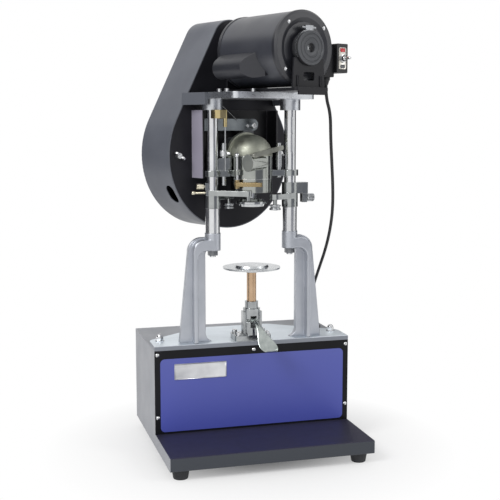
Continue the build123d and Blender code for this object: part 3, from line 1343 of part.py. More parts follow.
FLOOR_PIECES = [cabinet_shell, front_panel, front_label, pan_head_screws, feet, mains_inlet, bed, bed_bolts,
                cap_screws, cord_glands, cord]
SQUARE_PIECES = [left_leg, right_leg, left_column, right_column, column_nuts, clamp_arms, head_posts, link_bar,
                 spindle, chuck, first_lever, first_knob, first_roll, second_lever, second_knob, second_roll,
                 trip_shaft, trip_arm, pedestal, plunger, lifter_plate, hand_lever]
TURNED_PIECES = [top_plate, guard_arms, guard_channel, belt_guard, guard_front_plate, drive_belt, driven_pulley,
                 drive_shaft, bevel_gear, shaft_bearing, motor_pulley, motor_shaft, motor_rotor, motor_shell,
                 motor_front_bell, motor_rear_bell, cradle_rings, ring_clamps, motor_cradle, capacitor_cover,
                 terminal_box, switch_box, toggle, gear_hood, head_body, steady_arm, oil_collar]

os.makedirs("parts", exist_ok=True)
for frame, pieces in ((Location(), FLOOR_PIECES), (SQUARE, SQUARE_PIECES), (TURNED, TURNED_PIECES)):
    for piece in pieces:
        made = piece()
        solids = made if isinstance(made, list) else [made]
        export_step(Compound([frame * shape for shape in solids]), f"parts/{piece.__name__}.step")
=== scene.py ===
import math

import bmesh
import bpy
from mathutils import Matrix, Vector


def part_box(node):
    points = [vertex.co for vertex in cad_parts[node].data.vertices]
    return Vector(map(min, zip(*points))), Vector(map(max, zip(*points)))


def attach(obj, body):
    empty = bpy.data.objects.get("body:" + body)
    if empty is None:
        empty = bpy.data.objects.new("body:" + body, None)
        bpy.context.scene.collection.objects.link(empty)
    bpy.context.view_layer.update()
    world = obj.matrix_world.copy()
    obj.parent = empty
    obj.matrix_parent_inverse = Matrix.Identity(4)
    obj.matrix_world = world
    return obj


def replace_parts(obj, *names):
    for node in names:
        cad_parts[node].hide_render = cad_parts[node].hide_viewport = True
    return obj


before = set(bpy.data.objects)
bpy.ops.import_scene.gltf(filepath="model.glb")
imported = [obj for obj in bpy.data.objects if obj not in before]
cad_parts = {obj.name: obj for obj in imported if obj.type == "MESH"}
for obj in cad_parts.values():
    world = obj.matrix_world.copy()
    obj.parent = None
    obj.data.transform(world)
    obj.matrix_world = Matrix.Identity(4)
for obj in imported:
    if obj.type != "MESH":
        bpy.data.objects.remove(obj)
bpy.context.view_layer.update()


# Camera: a 72 mm lens on the operator's left, a little over the head, looking slightly down.
# It is neither rolled nor shifted, so that the columns lean only as much as the lens makes them.
eye = Vector((-0.5338, -1.9067, 0.6550))
aim = Vector((0.2679, 0.9549, -0.1279))
lens = bpy.data.cameras.new("seamer_camera")
lens.lens = 72
lens.sensor_width = 36
camera = bpy.data.objects.new("seamer_camera", lens)
camera.location = eye
camera.rotation_euler = aim.to_track_quat("-Z", "Y").to_euler()
bpy.context.scene.collection.objects.link(camera)
bpy.context.scene.camera = camera
bpy.context.scene.view_settings.view_transform = "Standard"


# Rubber feet: four tapered mouldings screwed under the cabinet's corners.
# Matt black rubber with a fine moulded grain and a little dust.
def tone(code):
    """A colour written as six hex digits, made linear."""
    parts = [int(code[i:i + 2], 16) / 255 for i in (0, 2, 4)]
    return tuple(p / 12.92 if p <= 0.04045 else ((p + 0.055) / 1.055) ** 2.4 for p in parts) + (1.0,)


def put(tree, kind, **sockets):
    """A shader node with some of its sockets set by name."""
    node = tree.nodes.new(kind)
    for name, value in sockets.items():
        node.inputs[name.replace("_", " ")].default_value = value
    return node


def blend(tree, amount, first, second):
    """A colour between two by an amount that varies over the surface."""
    mix = tree.nodes.new("ShaderNodeMix")
    mix.data_type = "RGBA"
    tree.links.new(amount, mix.inputs[0])
    for value, socket in ((first, mix.inputs[6]), (second, mix.inputs[7])):
        if isinstance(value, tuple):
            socket.default_value = value
        else:
            tree.links.new(value, socket)
    return mix.outputs[2]


def spread(tree, value, low, high, start=0.3, end=0.7):
    """A pattern's strength turned into a range of numbers."""
    remap = put(tree, "ShaderNodeMapRange", From_Min=start, From_Max=end, To_Min=low, To_Max=high)
    tree.links.new(value, remap.inputs["Value"])
    return remap.outputs["Result"]


def grain(tree, size, stretch=(1, 1, 1), detail=3.0):
    """Noise on the piece's own coordinates, its grain this many metres across."""
    place = tree.nodes.new("ShaderNodeTexCoord")
    mapping = put(tree, "ShaderNodeMapping", Scale=stretch)
    noise = put(tree, "ShaderNodeTexNoise", Scale=1 / size, Detail=detail)
    tree.links.new(place.outputs["Object"], mapping.inputs["Vector"])
    tree.links.new(mapping.outputs["Vector"], noise.inputs["Vector"])
    return noise.outputs["Fac"]


def begin(name, metal, edge):
    """A new material, its shader, and the surface's normal with this radius on its edges."""
    material = bpy.data.materials.new(name)
    material.use_nodes = True
    tree = material.node_tree
    shader = tree.nodes["Principled BSDF"]
    shader.inputs["Metallic"].default_value = metal
    rounding = put(tree, "ShaderNodeBevel", Radius=edge)
    return material, tree, shader, rounding.outputs["Normal"]


def rough_up(tree, shader, normal, height, depth):
    """Relief of this depth in metres from a pattern, over the rounded normal."""
    bump = put(tree, "ShaderNodeBump", Distance=depth)
    tree.links.new(height, bump.inputs["Height"])
    tree.links.new(normal, bump.inputs["Normal"])
    tree.links.new(bump.outputs["Normal"], shader.inputs["Normal"])


def moulded(name, dark, light, gloss):
    """Rubber or plastic with a fine moulded grain: two close tones and a band of roughness."""
    material, tree, shader, normal = begin(name, metal=0.0, edge=0.0006)
    tree.links.new(blend(tree, grain(tree, 0.03), tone(dark), tone(light)), shader.inputs["Base Color"])
    tree.links.new(spread(tree, grain(tree, 0.004), gloss, gloss + 0.12), shader.inputs["Roughness"])
    rough_up(tree, shader, normal, grain(tree, 0.0012), depth=0.00006)
    return material


def dress(node, material):
    """A CAD node in this finish."""
    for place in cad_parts[node].material_slots:
        place.material = material


dress("feet", moulded("foot_rubber", "1d1e21", "2c2d31", gloss=0.62))


# Cabinet: one folded steel sheet with a shelf in front, spot welded inside.
# One dark stoved enamel, satin, with orange peel and folds painted paler, partly as rubbed wear and partly as a painted
# highlight; painted light grey on the sides and top as painted light, and darker on the shelf's top as painted shade.
def cloudy(tree, size, detail, first, second):
    """Soft patches of two close tones, this many metres across."""
    return blend(tree, spread(tree, grain(tree, size, detail=detail), 0, 1), tone(first), tone(second))


def enamel(name, deep, pale, worn_and_highlight, gloss, shine=0.5, edge=0.001, second=None):
    """Stoved paint on steel: a cloudy tone, orange peel, and folds painted paler, partly as rubbed wear and partly as a
    painted highlight; a second tone where a mask says.
    """
    most_rubbed_and_lit = 0.35
    material, tree, shader, normal = begin(name, metal=0.0, edge=edge)
    shader.inputs["Specular IOR Level"].default_value = shine
    true = tree.nodes.new("ShaderNodeNewGeometry")
    bend = tree.nodes.new("ShaderNodeVectorMath")
    bend.operation = "DOT_PRODUCT"
    tree.links.new(normal, bend.inputs[0])
    tree.links.new(true.outputs["Normal"], bend.inputs[1])
    # Folds painted paler: partly rubbed wear, partly a painted highlight on the rounded edge.
    fold_wear_and_highlight = spread(tree, bend.outputs["Value"], most_rubbed_and_lit, 0.0, 0.80, 0.99)
    paint = cloudy(tree, 0.11, 5, deep, pale)
    if second:
        paint = second(tree, paint)
    tree.links.new(blend(tree, fold_wear_and_highlight, paint, tone(worn_and_highlight)), shader.inputs["Base Color"])
    tree.links.new(spread(tree, grain(tree, 0.05, detail=6), gloss - 0.05, gloss + 0.07), shader.inputs["Roughness"])
    rough_up(tree, shader, normal, grain(tree, 0.0035, detail=1), depth=0.00004)
    return material


def part_place(tree, turn=0.0, shift=(0, 0, 0)):
    """X, Y and Z sockets of a place on the machine, turned about Z and then moved."""
    place = tree.nodes.new("ShaderNodeTexCoord")
    mapping = put(tree, "ShaderNodeMapping", Location=shift, Rotation=(0, 0, turn))
    split = tree.nodes.new("ShaderNodeSeparateXYZ")
    tree.links.new(place.outputs["Object"], mapping.inputs["Vector"])
    tree.links.new(mapping.outputs["Vector"], split.inputs["Vector"])
    return split.outputs


def past(tree, value, start, end):
    """A mask that is 0 below the start and 1 above the end."""
    return spread(tree, value, 0.0, 1.0, start, end)


def sum_up(tree, kind, first, second=None):
    """One arithmetic step on a socket, or on two."""
    step = tree.nodes.new("ShaderNodeMath")
    step.operation = kind
    tree.links.new(first, step.inputs[0])
    if second is not None:
        tree.links.new(second, step.inputs[1])
    return step.outputs[0]


def lit_and_shaded_cabinet_tones(tree, grey):
    """Painted light on one dark paint: light grey on the cabinet's sides and top, where light falls, and darker on the
    shelf's top than on its apron, as painted shade.
    """
    place = part_place(tree)
    side = past(tree, sum_up(tree, "ABSOLUTE", place["X"]), 0.1993, 0.1997)
    behind = past(tree, place["Y"], -0.0315, -0.0305)
    dark = blend(tree, past(tree, place["Z"], 0.0440, 0.0450), tone("3a3e45"), tone("2b2a3a"))
    return blend(tree, sum_up(tree, "MAXIMUM", side, behind), dark, grey)


dress("cabinet_shell", enamel("cabinet_enamel", "888a90", "92949a", worn_and_highlight="b4b6ba", gloss=0.42, shine=0.35,
                              second=lit_and_shaded_cabinet_tones))


# Front panel: a steel plate screwed over the cabinet's open front.
# Semi-gloss black enamel.
dress("front_panel", enamel("panel_enamel", "121215", "19191d", worn_and_highlight="34343a", gloss=0.36, shine=0.15))


# Label: printed film stuck on the panel, with rounded corners.
# Plain blue ink under a satin overlay, with painted light: a little paler and more violet towards its top.
def printed_film(name, low, high, bottom, top):
    """Ink under a clear overlay, with painted light: it runs from one tone to another between two heights."""
    material, tree, shader, normal = begin(name, metal=0.0, edge=0.0003)
    painted_light_rise = past(tree, part_place(tree)["Z"], bottom, top)
    tree.links.new(blend(tree, painted_light_rise, tone(low), tone(high)), shader.inputs["Base Color"])
    tree.links.new(spread(tree, grain(tree, 0.06, detail=4), 0.36, 0.46), shader.inputs["Roughness"])
    rough_up(tree, shader, normal, grain(tree, 0.0008), depth=0.00001)
    return material


label_low, label_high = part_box("front_label")
dress("front_label", printed_film("label_ink", "4852ac", "5058a4", label_low.z, label_high.z))


# Nameplate: a bare aluminium plate stuck on the label's upper left, with a raised border.
# Pressed from thin sheet, brushed from side to side, its edges rounded.
def bright_metal(name, dark, light, gloss, cloud, stretch=(1, 1, 1), relief=0.00001, edge=0.0004,
                 second=None, dull=None):
    """Bare metal: two close tones in patches, tool marks drawn out along a direction; duller where a mask says."""
    material, tree, shader, normal = begin(name, metal=1.0, edge=edge)
    patches = cloudy(tree, cloud, 5, dark, light)
    tree.links.new(second(tree, patches) if second else patches, shader.inputs["Base Color"])
    marks = grain(tree, 0.003, stretch, 4)
    polish = spread(tree, marks, 0.8 * gloss, 1.3 * gloss)
    tree.links.new(sum_up(tree, "MAXIMUM", polish, dull(tree)) if dull else polish, shader.inputs["Roughness"])
    rough_up(tree, shader, normal, marks, relief)
    return material


def add_piece(name, bm, material, body="frame"):
    """A finished mesh as a piece of the machine, riding on a body."""
    mesh = bpy.data.meshes.new(name)
    bm.to_mesh(mesh)
    bm.free()
    mesh.polygons.foreach_set("use_smooth", [True] * len(mesh.polygons))
    mesh.set_sharp_from_angle(angle=0.6)
    mesh.materials.append(material)
    piece = bpy.data.objects.new(name, mesh)
    bpy.context.scene.collection.objects.link(piece)
    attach(piece, body)
    return piece


def gather(bm, part):
    """Adds one small mesh to a piece's mesh."""
    mesh = bpy.data.meshes.new("part")
    part.to_mesh(mesh)
    part.free()
    bm.from_mesh(mesh)
    bpy.data.meshes.remove(mesh)


def pressed_plate(bm, width, depth, height, corner, edge, place):
    """A plate standing on its long side, with round corners, soft edges and a raised border on its front."""
    part = bmesh.new()
    bmesh.ops.create_cube(part, size=1)
    bmesh.ops.scale(part, vec=(width, depth, height), verts=part.verts)
    corners = [e for e in part.edges if abs(e.verts[0].co.y - e.verts[1].co.y) > depth / 2]
    bmesh.ops.bevel(part, geom=corners, offset=corner, affect="EDGES", segments=5, profile=0.5, material=-1)
    front = [f for f in part.faces if f.normal.y < -0.9]
    bmesh.ops.bevel(part, geom=[e for f in front for e in f.edges], offset=edge, affect="EDGES", segments=2,
                    profile=0.5, material=-1)
    front = [f for f in part.faces if f.normal.y < -0.9]
    bmesh.ops.inset_region(part, faces=front, thickness=4 * edge, depth=0.0)
    front = [f for f in part.faces if f.normal.y < -0.9 and len(f.verts) > 4]
    bmesh.ops.inset_region(part, faces=front[:1], thickness=edge, depth=-0.6 * edge)
    bmesh.ops.recalc_face_normals(part, faces=part.faces)
    bmesh.ops.transform(part, matrix=place, verts=part.verts)
    gather(bm, part)


nameplate = bmesh.new()
pressed_plate(nameplate, width=0.1046, depth=0.0012, height=0.0316, corner=0.0016, edge=0.0004,
              place=Matrix.Translation((-0.1090, -0.0332, 0.1690)))
add_piece("nameplate", nameplate,
          bright_metal("nameplate_aluminium", "c9cacd", "dfe0e2", gloss=0.34, cloud=0.03, stretch=(0.05, 1, 1)))


# Screws: pan heads on the panel and the motor, and socket heads on the plate and the pedestal.
# Zinc-plated steel, bright, with fine turning marks; the motor's ring clamps have a duller plating.
zinc = bright_metal("zinc_plate", "c3c4c6", "e2e3e4", gloss=0.22, cloud=0.004)
for screws in ("pan_head_screws", "cap_screws"):
    dress(screws, zinc)
dress("ring_clamps", bright_metal("clamp_zinc", "85878a", "9c9ea1", gloss=0.30, cloud=0.004))


# Mains inlet: a moulded appliance inlet in the cabinet's back.
# Black glass-filled plastic.
dress("mains_inlet", moulded("inlet_plastic", "131315", "1b1b1e", gloss=0.42))


# Bed: a flat casting bolted on the cabinet, its top face ground and its edge milled.
# Aluminium, pale, with faint grinding lines from side to side; the edge is painted darker, as painted shade.
def shaded_bed_edge(tree, top):
    """Painted shade: darker metal on the bed's milled edge, below its ground top."""
    return blend(tree, past(tree, part_place(tree)["Z"], 0.2203, 0.2210), tone("8b8f97"), top)


dress("bed", bright_metal("ground_aluminium", "d2d9df", "e2e9ef", gloss=0.42, cloud=0.08, stretch=(0.05, 1, 1),
                          edge=0.0005, second=shaded_bed_edge))
dress("bed_bolts", zinc)


# Legs: two castings bolted on the bed, with a curled top and a socket for the column.
# Sand-cast aluminium, dressed and satin, with a fine grain.
def cast_metal(name, dark, light, gloss, metal, relief=0.00005, edge=0.0012):
    """Cast metal dressed by hand: soft patches, a fine sandy grain and a satin gloss."""
    material, tree, shader, normal = begin(name, metal, edge)
    tree.links.new(cloudy(tree, 0.05, 6, dark, light), shader.inputs["Base Color"])
    tree.links.new(spread(tree, grain(tree, 0.012, detail=5), gloss - 0.06, gloss + 0.08), shader.inputs["Roughness"])
    rough_up(tree, shader, normal, grain(tree, 0.0018, detail=4), relief)
    return material


leg_casting = cast_metal("leg_casting", "b1b5bc", "bdc0c7", gloss=0.35, metal=0.9, relief=0.000004, edge=0.003)
for leg in ("left_leg", "right_leg"):
    dress(leg, leg_casting)


# Columns: two stepped bars with studs that go through the legs' sockets to a nut.
# Ground and chromed steel, with faint rings round them; the nuts are dark zinc.
chrome = bright_metal("column_chrome", "cfd0d2", "e2e3e4", gloss=0.17, cloud=0.05, stretch=(0.02, 0.02, 0.12),
                      relief=0.000001)
for column in ("left_column", "right_column"):
    dress(column, chrome)
dress("column_nuts", bright_metal("nut_zinc", "5d5f63", "7f8184", gloss=0.34, cloud=0.005))


# Column screw: a cheese-head grub in the right column's keyway.
# Zinc-plated, with a turned face and a small socket.
def lathe(bm, section, place, steps=32, closed=False):
    """A turned shape from half of its section as radius and height, set at a place."""
    part = bmesh.new()
    line = [part.verts.new((radius, 0, height)) for radius, height in section]
    ends = line[1:] + line[:1] if closed else line[1:]
    for start, end in zip(line, ends):
        part.edges.new((start, end))
    bmesh.ops.spin(part, geom=part.verts[:] + part.edges[:], cent=(0, 0, 0), axis=(0, 0, 1), angle=math.tau,
                   steps=steps, use_merge=True)
    bmesh.ops.remove_doubles(part, verts=part.verts, dist=0.000001)
    bmesh.ops.recalc_face_normals(part, faces=part.faces)
    bmesh.ops.transform(part, matrix=place, verts=part.verts)
    gather(bm, part)


def socket_head(bm, radius, height, place):
    """A cap screw's head with a round edge and a socket, standing on its seat."""
    floor_level = height - height * 0.55
    lathe(bm, [(0, 0), (radius, 0), (radius, 0.8 * height), (0.86 * radius, height), (0.55 * radius, height),
               (0.5 * radius, 0.96 * height), (0.5 * radius, floor_level), (0, floor_level)], place)


facing_front = Matrix.Rotation(math.pi / 2, 4, "X")
keyway_screw = bmesh.new()
socket_head(keyway_screw, radius=0.0019, height=0.0022,
            place=Matrix.Translation((0.079, -0.0235, 0.631)) @ facing_front)
add_piece("column_screw", keyway_screw, zinc)


# Top plate and the flat bars to the guard: a cast plate with a boss round each column.
# Aluminium, its edge polished, its top satin; the bars are painted.
dress("top_plate", bright_metal("plate_aluminium", "c0c3c8", "d2d5d9", gloss=0.30, cloud=0.05, stretch=(0.1, 1, 1),
                                relief=0.000002, edge=0.0006))
dress("guard_arms", enamel("bar_enamel", "50535a", "5a5d64", worn_and_highlight="8d9096", gloss=0.40, shine=0.35))


# Belt guard: a deep-drawn cover round both pulleys, a plate with wing bolts in its mouth, a channel in front.
# Satin grey enamel outside and black on the plate; the channel is lilac-grey on its left flange, else black.
# These and the motor are turned about the spindle, which stands on the columns' line.
head_y = -0.015
drive_turn = math.radians(22)
drive_frame = Matrix.Translation((0, head_y, 0)) @ Matrix.Rotation(drive_turn, 4, "Z")
drive_shift = (-head_y * math.sin(drive_turn), -head_y * math.cos(drive_turn), 0)


def channel_tones(tree, lilac):
    """Black in the channel and lilac on its left flange's outside."""
    place = part_place(tree, -drive_turn, drive_shift)
    flange = spread(tree, place["X"], 1.0, 0.0, -0.0928, -0.0922)
    return blend(tree, flange, tone("18181b"), lilac)


def plate_with_bolts(name):
    """Black paint on the plate and bright zinc on the wing bolts in front of it."""
    plate_front, bolt_back = 0.0690, 0.0686
    material, tree, shader, normal = begin(name, metal=0.0, edge=0.0006)
    place = part_place(tree, -drive_turn, drive_shift)
    paint = past(tree, place["Y"], bolt_back, plate_front)
    metal = spread(tree, place["Y"], 1.0, 0.0, bolt_back, plate_front)
    black = cloudy(tree, 0.11, 5, "1e1e22", "27272c")
    tree.links.new(blend(tree, paint, tone("d6d7d8"), black), shader.inputs["Base Color"])
    tree.links.new(metal, shader.inputs["Metallic"])
    tree.links.new(spread(tree, grain(tree, 0.05, detail=6), 0.30, 0.42), shader.inputs["Roughness"])
    shader.inputs["Specular IOR Level"].default_value = 0.15
    rough_up(tree, shader, normal, grain(tree, 0.0035, detail=1), depth=0.00004)
    return material


dress("belt_guard", enamel("guard_enamel", "50535b", "5c5f67", worn_and_highlight="8b8e95", gloss=0.38, shine=0.4))
dress("guard_front_plate", plate_with_bolts("guard_plate_enamel"))
dress("guard_channel", enamel("channel_enamel", "85818f", "918d9b", worn_and_highlight="a9a6b2", gloss=0.42, shine=0.3,
                              second=channel_tones))


# Belt drive: a cast pulley on the shaft, a small one on the motor, a V-belt, shaft and bevel gears.
# Grey iron and black rubber; the shafts, the gears and the seaming rolls are ground steel.
iron = cast_metal("grey_iron", "55575a", "66686b", gloss=0.5, metal=0.6)
for wheel in ("driven_pulley", "motor_pulley", "shaft_bearing"):
    dress(wheel, iron)
dress("drive_belt", moulded("belt_rubber", "161618", "232326", gloss=0.6))
steel = bright_metal("ground_steel", "b0b2b4", "c4c6c8", gloss=0.24, cloud=0.01, stretch=(0.3, 0.3, 1),
                     relief=0.000004)
for turned in ("drive_shaft", "bevel_gear", "motor_shaft", "spindle", "first_roll", "second_roll"):
    dress(turned, steel)
dress("motor_rotor", cast_metal("rotor_laminations", "4a4b4e", "5d5e61", gloss=0.5, metal=0.7))


# Motor: a rolled frame between two cast bells, held by its hubs' rubber rings in a pressed cradle.
# One black enamel: satin on the cradle and terminal box and glossier on the bells; the bells, the frame and the
# capacitor cover are painted paler, as painted sheen.
motor_enamel = enamel("motor_enamel", "151518", "1c1c20", worn_and_highlight="47484e", gloss=0.36, shine=0.26)
for pressing in ("motor_cradle", "terminal_box"):
    dress(pressing, motor_enamel)
# Painted sheen: the bells, frame and cover are given paler blacks than the cradle's.
bell_enamel_sheen = enamel("bell_enamel_sheen", "1b1c21", "24252b", worn_and_highlight="4b4d54", gloss=0.36, shine=0.65)
for bell in ("motor_front_bell", "motor_rear_bell"):
    dress(bell, bell_enamel_sheen)
dress("motor_shell", enamel("shell_enamel_sheen", "272930", "30323b", worn_and_highlight="55575e", gloss=0.38, shine=1.0))
dress("capacitor_cover", enamel("cover_enamel_sheen", "202126", "292a30", worn_and_highlight="55575e", gloss=0.40, shine=0.42))
dress("cradle_rings", moulded("ring_rubber", "1a1a1c", "28282b", gloss=0.55))


# Ring face: the front resilient ring's pressed steel cap, with round grooves about the shaft's end.
# Drawn from sheet and painted dark grey.
ring_cap = bmesh.new()
ring_section = [(0.0086, 0), (0.0086, 0.0010), (0.0100, 0.0016), (0.0150, 0.0016), (0.0158, 0.0006), (0.0180, 0.0006),
                (0.0188, 0.0018), (0.0232, 0.0018), (0.0240, 0.0008), (0.0258, 0.0008), (0.0266, 0.0022),
                (0.0300, 0.0022), (0.0310, 0.0012), (0.0310, 0)]
motor_axis_z = 0.7855
lathe(ring_cap, ring_section, drive_frame @ Matrix.Translation((0, -0.174, motor_axis_z)) @ facing_front,
      steps=64, closed=True)
add_piece("ring_face", ring_cap,
          enamel("ring_enamel", "3a3c40", "434549", worn_and_highlight="6c6d72", gloss=0.40, shine=0.4, edge=0.0004))


# Cradle details: two ribs pressed out of the front upright, and the base's holding-down bolt behind its window.
# The ribs are painted with the cradle; the bolt is zinc-plated.
cradle_ribs = bmesh.new()
for side in (-1, 1):
    pressed_plate(cradle_ribs, width=0.0042, depth=0.0024, height=0.0200, corner=0.0018, edge=0.0003,
                  place=drive_frame @ Matrix.Translation((side * 0.027, -0.1703, 0.7270)))
add_piece("cradle_ribs", cradle_ribs, motor_enamel)
base_bolt = bmesh.new()
bolt_place = drive_frame @ Matrix.Translation((0.003, -0.158, 0.715))
washer_section = [(0, 0), (0.0062, 0), (0.0062, 0.0010), (0.0058, 0.0014), (0, 0.0014)]
lathe(base_bolt, washer_section, bolt_place)
socket_head(base_bolt, radius=0.0046, height=0.0130, place=bolt_place)
add_piece("cradle_bolt", base_bolt, zinc)


# Switch: a moulded box beside the terminal box, with a bat-handled toggle in a threaded bushing.
# Black plastic and a chromed lever.
dress("switch_box", moulded("switch_plastic", "151517", "1e1e21", gloss=0.4))
dress("toggle", chrome)


# Switch face: an aluminium plate under the toggle's nut, with one red and one grey mark.
# Brushed sheet; the marks are enamelled and the nut is zinc-plated.
switch_x, toggle_z = 0.0975, 0.7715
switch_face = bmesh.new()
pressed_plate(switch_face, width=0.0190, depth=0.0010, height=0.0400, corner=0.0030, edge=0.0002,
              place=drive_frame @ Matrix.Translation((switch_x, -0.1525, toggle_z)))
add_piece("switch_face", switch_face,
          bright_metal("switch_aluminium", "cbc8c0", "dddad2", gloss=0.36, cloud=0.01, stretch=(1, 1, 0.05)))
for mark, level, deep, pale in (("red", 0.7865, "b3202c", "c22a35"), ("grey", 0.7565, "4d4f53", "5a5c60")):
    dab = bmesh.new()
    pressed_plate(dab, width=0.0110, depth=0.0006, height=0.0070, corner=0.0016, edge=0.0001,
                  place=drive_frame @ Matrix.Translation((switch_x, -0.1532, level)))
    add_piece(f"switch_{mark}_mark", dab, enamel(f"{mark}_enamel", deep, pale, worn_and_highlight=pale, gloss=0.35, edge=0.0002))
nut = bmesh.new()
nut_radius = 0.0086
bmesh.ops.create_cone(nut, cap_ends=True, segments=6, radius1=nut_radius, radius2=nut_radius, depth=0.0032)
bmesh.ops.bevel(nut, geom=nut.edges[:], offset=0.0005, affect="EDGES", segments=2, profile=0.5, material=-1)
bmesh.ops.transform(nut, verts=nut.verts,
                    matrix=drive_frame @ Matrix.Translation((switch_x, -0.1541, toggle_z)) @ facing_front)
add_piece("toggle_nut", nut, zinc)


# Gear case and head: an upper hood and a lower body with the spindle's housing and a cross boss.
# Slightly warm nickel on cast iron: satin on the hood, polished on the body, dull on the boss's flat end.
# A thin zinc-plated band lies round the body.
def sawn_end(tree):
    """Roughness of the cross boss's flat end, and none elsewhere."""
    matt = 0.55
    place = part_place(tree, -drive_turn, drive_shift)
    left = spread(tree, place["X"], matt, 0.0, -0.0397, -0.0394)
    front = spread(tree, place["Y"], matt, 0.0, -0.0220, -0.0210)
    high = spread(tree, place["Z"], 0.0, matt, 0.5580, 0.5585)
    return sum_up(tree, "MINIMUM", sum_up(tree, "MINIMUM", left, front), high)


dress("gear_hood", bright_metal("hood_nickel", "8d8f84", "a3a599", gloss=0.50, cloud=0.03, stretch=(0.4, 0.4, 1),
                                relief=0.000003, edge=0.0012))
dress("head_body", bright_metal("polished_nickel", "979a96", "a9aca7", gloss=0.13, cloud=0.03, stretch=(0.4, 0.4, 1),
                                relief=0.000002, edge=0.0012, dull=sawn_end))
head_band = bmesh.new()
band_section = [(0.0405, -0.0005), (0.0413, -0.0003), (0.0413, 0.0003), (0.0405, 0.0005)]
lathe(head_band, band_section, Matrix.Translation((0, head_y, 0.5435)), steps=72, closed=True)
add_piece("head_band", head_band, zinc)


# Clamp arms, posts, link and steady arm: flat and round steel that ties the head to the columns.
# Satin nickel on the arms, ground steel on the posts, a warmer link, and a darker steady arm with two screws.
satin = bright_metal("satin_nickel", "9fa2a2", "b0b3b2", gloss=0.15, cloud=0.02, stretch=(1, 0.2, 0.2),
                     relief=0.000002, edge=0.0010)
dress("clamp_arms", satin)
dress("steady_arm", bright_metal("steady_steel", "63686c", "777c7f", gloss=0.20, cloud=0.03, stretch=(0.2, 1, 1),
                                 relief=0.000001, edge=0.0010))
dress("head_posts", steel)
dress("link_bar", bright_metal("link_steel", "9b9c93", "adaea5", gloss=0.34, cloud=0.03, stretch=(1, 1, 0.3),
                               relief=0.000002, edge=0.0012))
steady_bolts = bmesh.new()
for across, radius in ((0.0350, 0.0060), (0.0200, 0.0034)):
    socket_head(steady_bolts, radius, height=0.8 * radius,
                place=drive_frame @ Matrix.Translation((across, 0.040, 0.6455)) @ facing_front)
add_piece("steady_bolts", steady_bolts, zinc)


# Post collar: a split collar on the left post with its pinch screw.
# Turned steel, zinc-plated.
post_collar = bmesh.new()
post = Matrix.Translation((-0.056, head_y, 0.5865))
collar_section = [(0.0051, 0), (0.0084, 0), (0.0090, 0.0006), (0.0090, 0.0114), (0.0084, 0.0120), (0.0051, 0.0120)]
lathe(post_collar, collar_section, post, steps=48, closed=True)
pinch_turn = Matrix.Rotation(math.radians(50), 4, "Z")
socket_head(post_collar, radius=0.0036, height=0.0060,
            place=post @ pinch_turn @ Matrix.Translation((0, -0.0086, 0.0060)) @ facing_front)
add_piece("post_collar", post_collar, zinc)


# Oil collar: turned brass under the left boss, with a thin drip rod.
# Yellow brass, handled, with duller patches; the rod is steel.
def steel_drip(tree, brass):
    """Steel on the drip rod, below the brass collar's tail."""
    return blend(tree, past(tree, part_place(tree)["Z"], 0.6438, 0.6440), tone("b9bbbd"), brass)


dress("oil_collar", bright_metal("collar_brass", "b3a272", "c7b78c", gloss=0.20, cloud=0.03, stretch=(0.1, 0.1, 1),
                                 relief=0.000001, second=steel_drip))


# Oil pipe: a thin steel tube from the left boss down to the steady arm.
# Drawn, bent by hand and zinc-plated.
def bent_tube(name, route, radius, rounding, steps, material):
    """A round tube along a route, with closed ends; the last two numbers say how finely it is divided."""
    curve = bpy.data.curves.new(name, "CURVE")
    curve.dimensions = "3D"
    curve.bevel_depth = radius
    curve.bevel_resolution = rounding
    curve.resolution_u = steps
    curve.use_fill_caps = True
    line = curve.splines.new("NURBS")
    line.points.add(len(route) - 1)
    for point, place in zip(line.points, route):
        point.co = (*place, 1)
    line.order_u = 3
    line.use_endpoint_u = True
    curve.materials.append(material)
    piece = bpy.data.objects.new(name, curve)
    bpy.context.scene.collection.objects.link(piece)
    return piece


pipe_route = [(-0.0592, -0.0150, 0.6840), (-0.0520, -0.0070, 0.6800), (-0.0400, 0.0030, 0.6715),
              (-0.0290, 0.0120, 0.6630), (-0.0195, 0.0200, 0.6563)]
pipe = bent_tube("oil_pipe", pipe_route, radius=0.0006, rounding=3, steps=12, material=zinc)
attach(pipe, "frame")


# Chuck: turned from hardened steel, with a nose that fits inside the can's end.
# Polished on its nose and lip.
dress("chuck", bright_metal("chuck_steel", "b4b6b8", "d2d4d5", gloss=0.14, cloud=0.01, stretch=(0.1, 0.1, 1)))


# Seaming levers and knobs: cast arms on the columns, each with an adjusting knob.
# Satin nickel arms. The first has a turned knob over a ball-ended screw, in warm nickel; the second a knurled one.
for lever in ("first_lever", "second_lever"):
    dress(lever, satin)
knob_nickel = bright_metal("knob_nickel", "cfc8b4", "dbd5c3", gloss=0.24, cloud=0.003)
facing_left = Matrix.Rotation(-math.pi / 2, 4, "Y")
facing_right = Matrix.Rotation(math.pi / 2, 4, "Y")
first_lug_x = -0.095
plain_knob = bmesh.new()
knob_section = [(0, 0), (0.0030, 0), (0.0030, 0.0020), (0.0056, 0.0020), (0.0060, 0.0024), (0.0060, 0.0124),
                (0.0058, 0.0128), (0.0054, 0.0130), (0.0054, 0.0138), (0.0058, 0.0140), (0.0058, 0.0154),
                (0.0052, 0.0160), (0, 0.0160)]
lathe(plain_knob, knob_section, Matrix.Translation((first_lug_x, head_y, 0.529)) @ facing_left, steps=48)
crest, root, pitch = 0.0026, 0.0021, 0.0014
screw_section = [(0, 0), (crest, 0)]
for turn in range(12):
    screw_section += [(crest, 0.0004 + pitch * turn), (root, 0.0011 + pitch * turn)]
screw_section += [(crest, 0.0176)]
ball, ball_z, ball_steps = 0.0040, 0.0220, 12
for step in range(1, ball_steps):
    lean = math.radians(40 + 140 * step / ball_steps)
    screw_section.append((ball * math.sin(lean), ball_z - ball * math.cos(lean)))
screw_section.append((0, 0.0260))
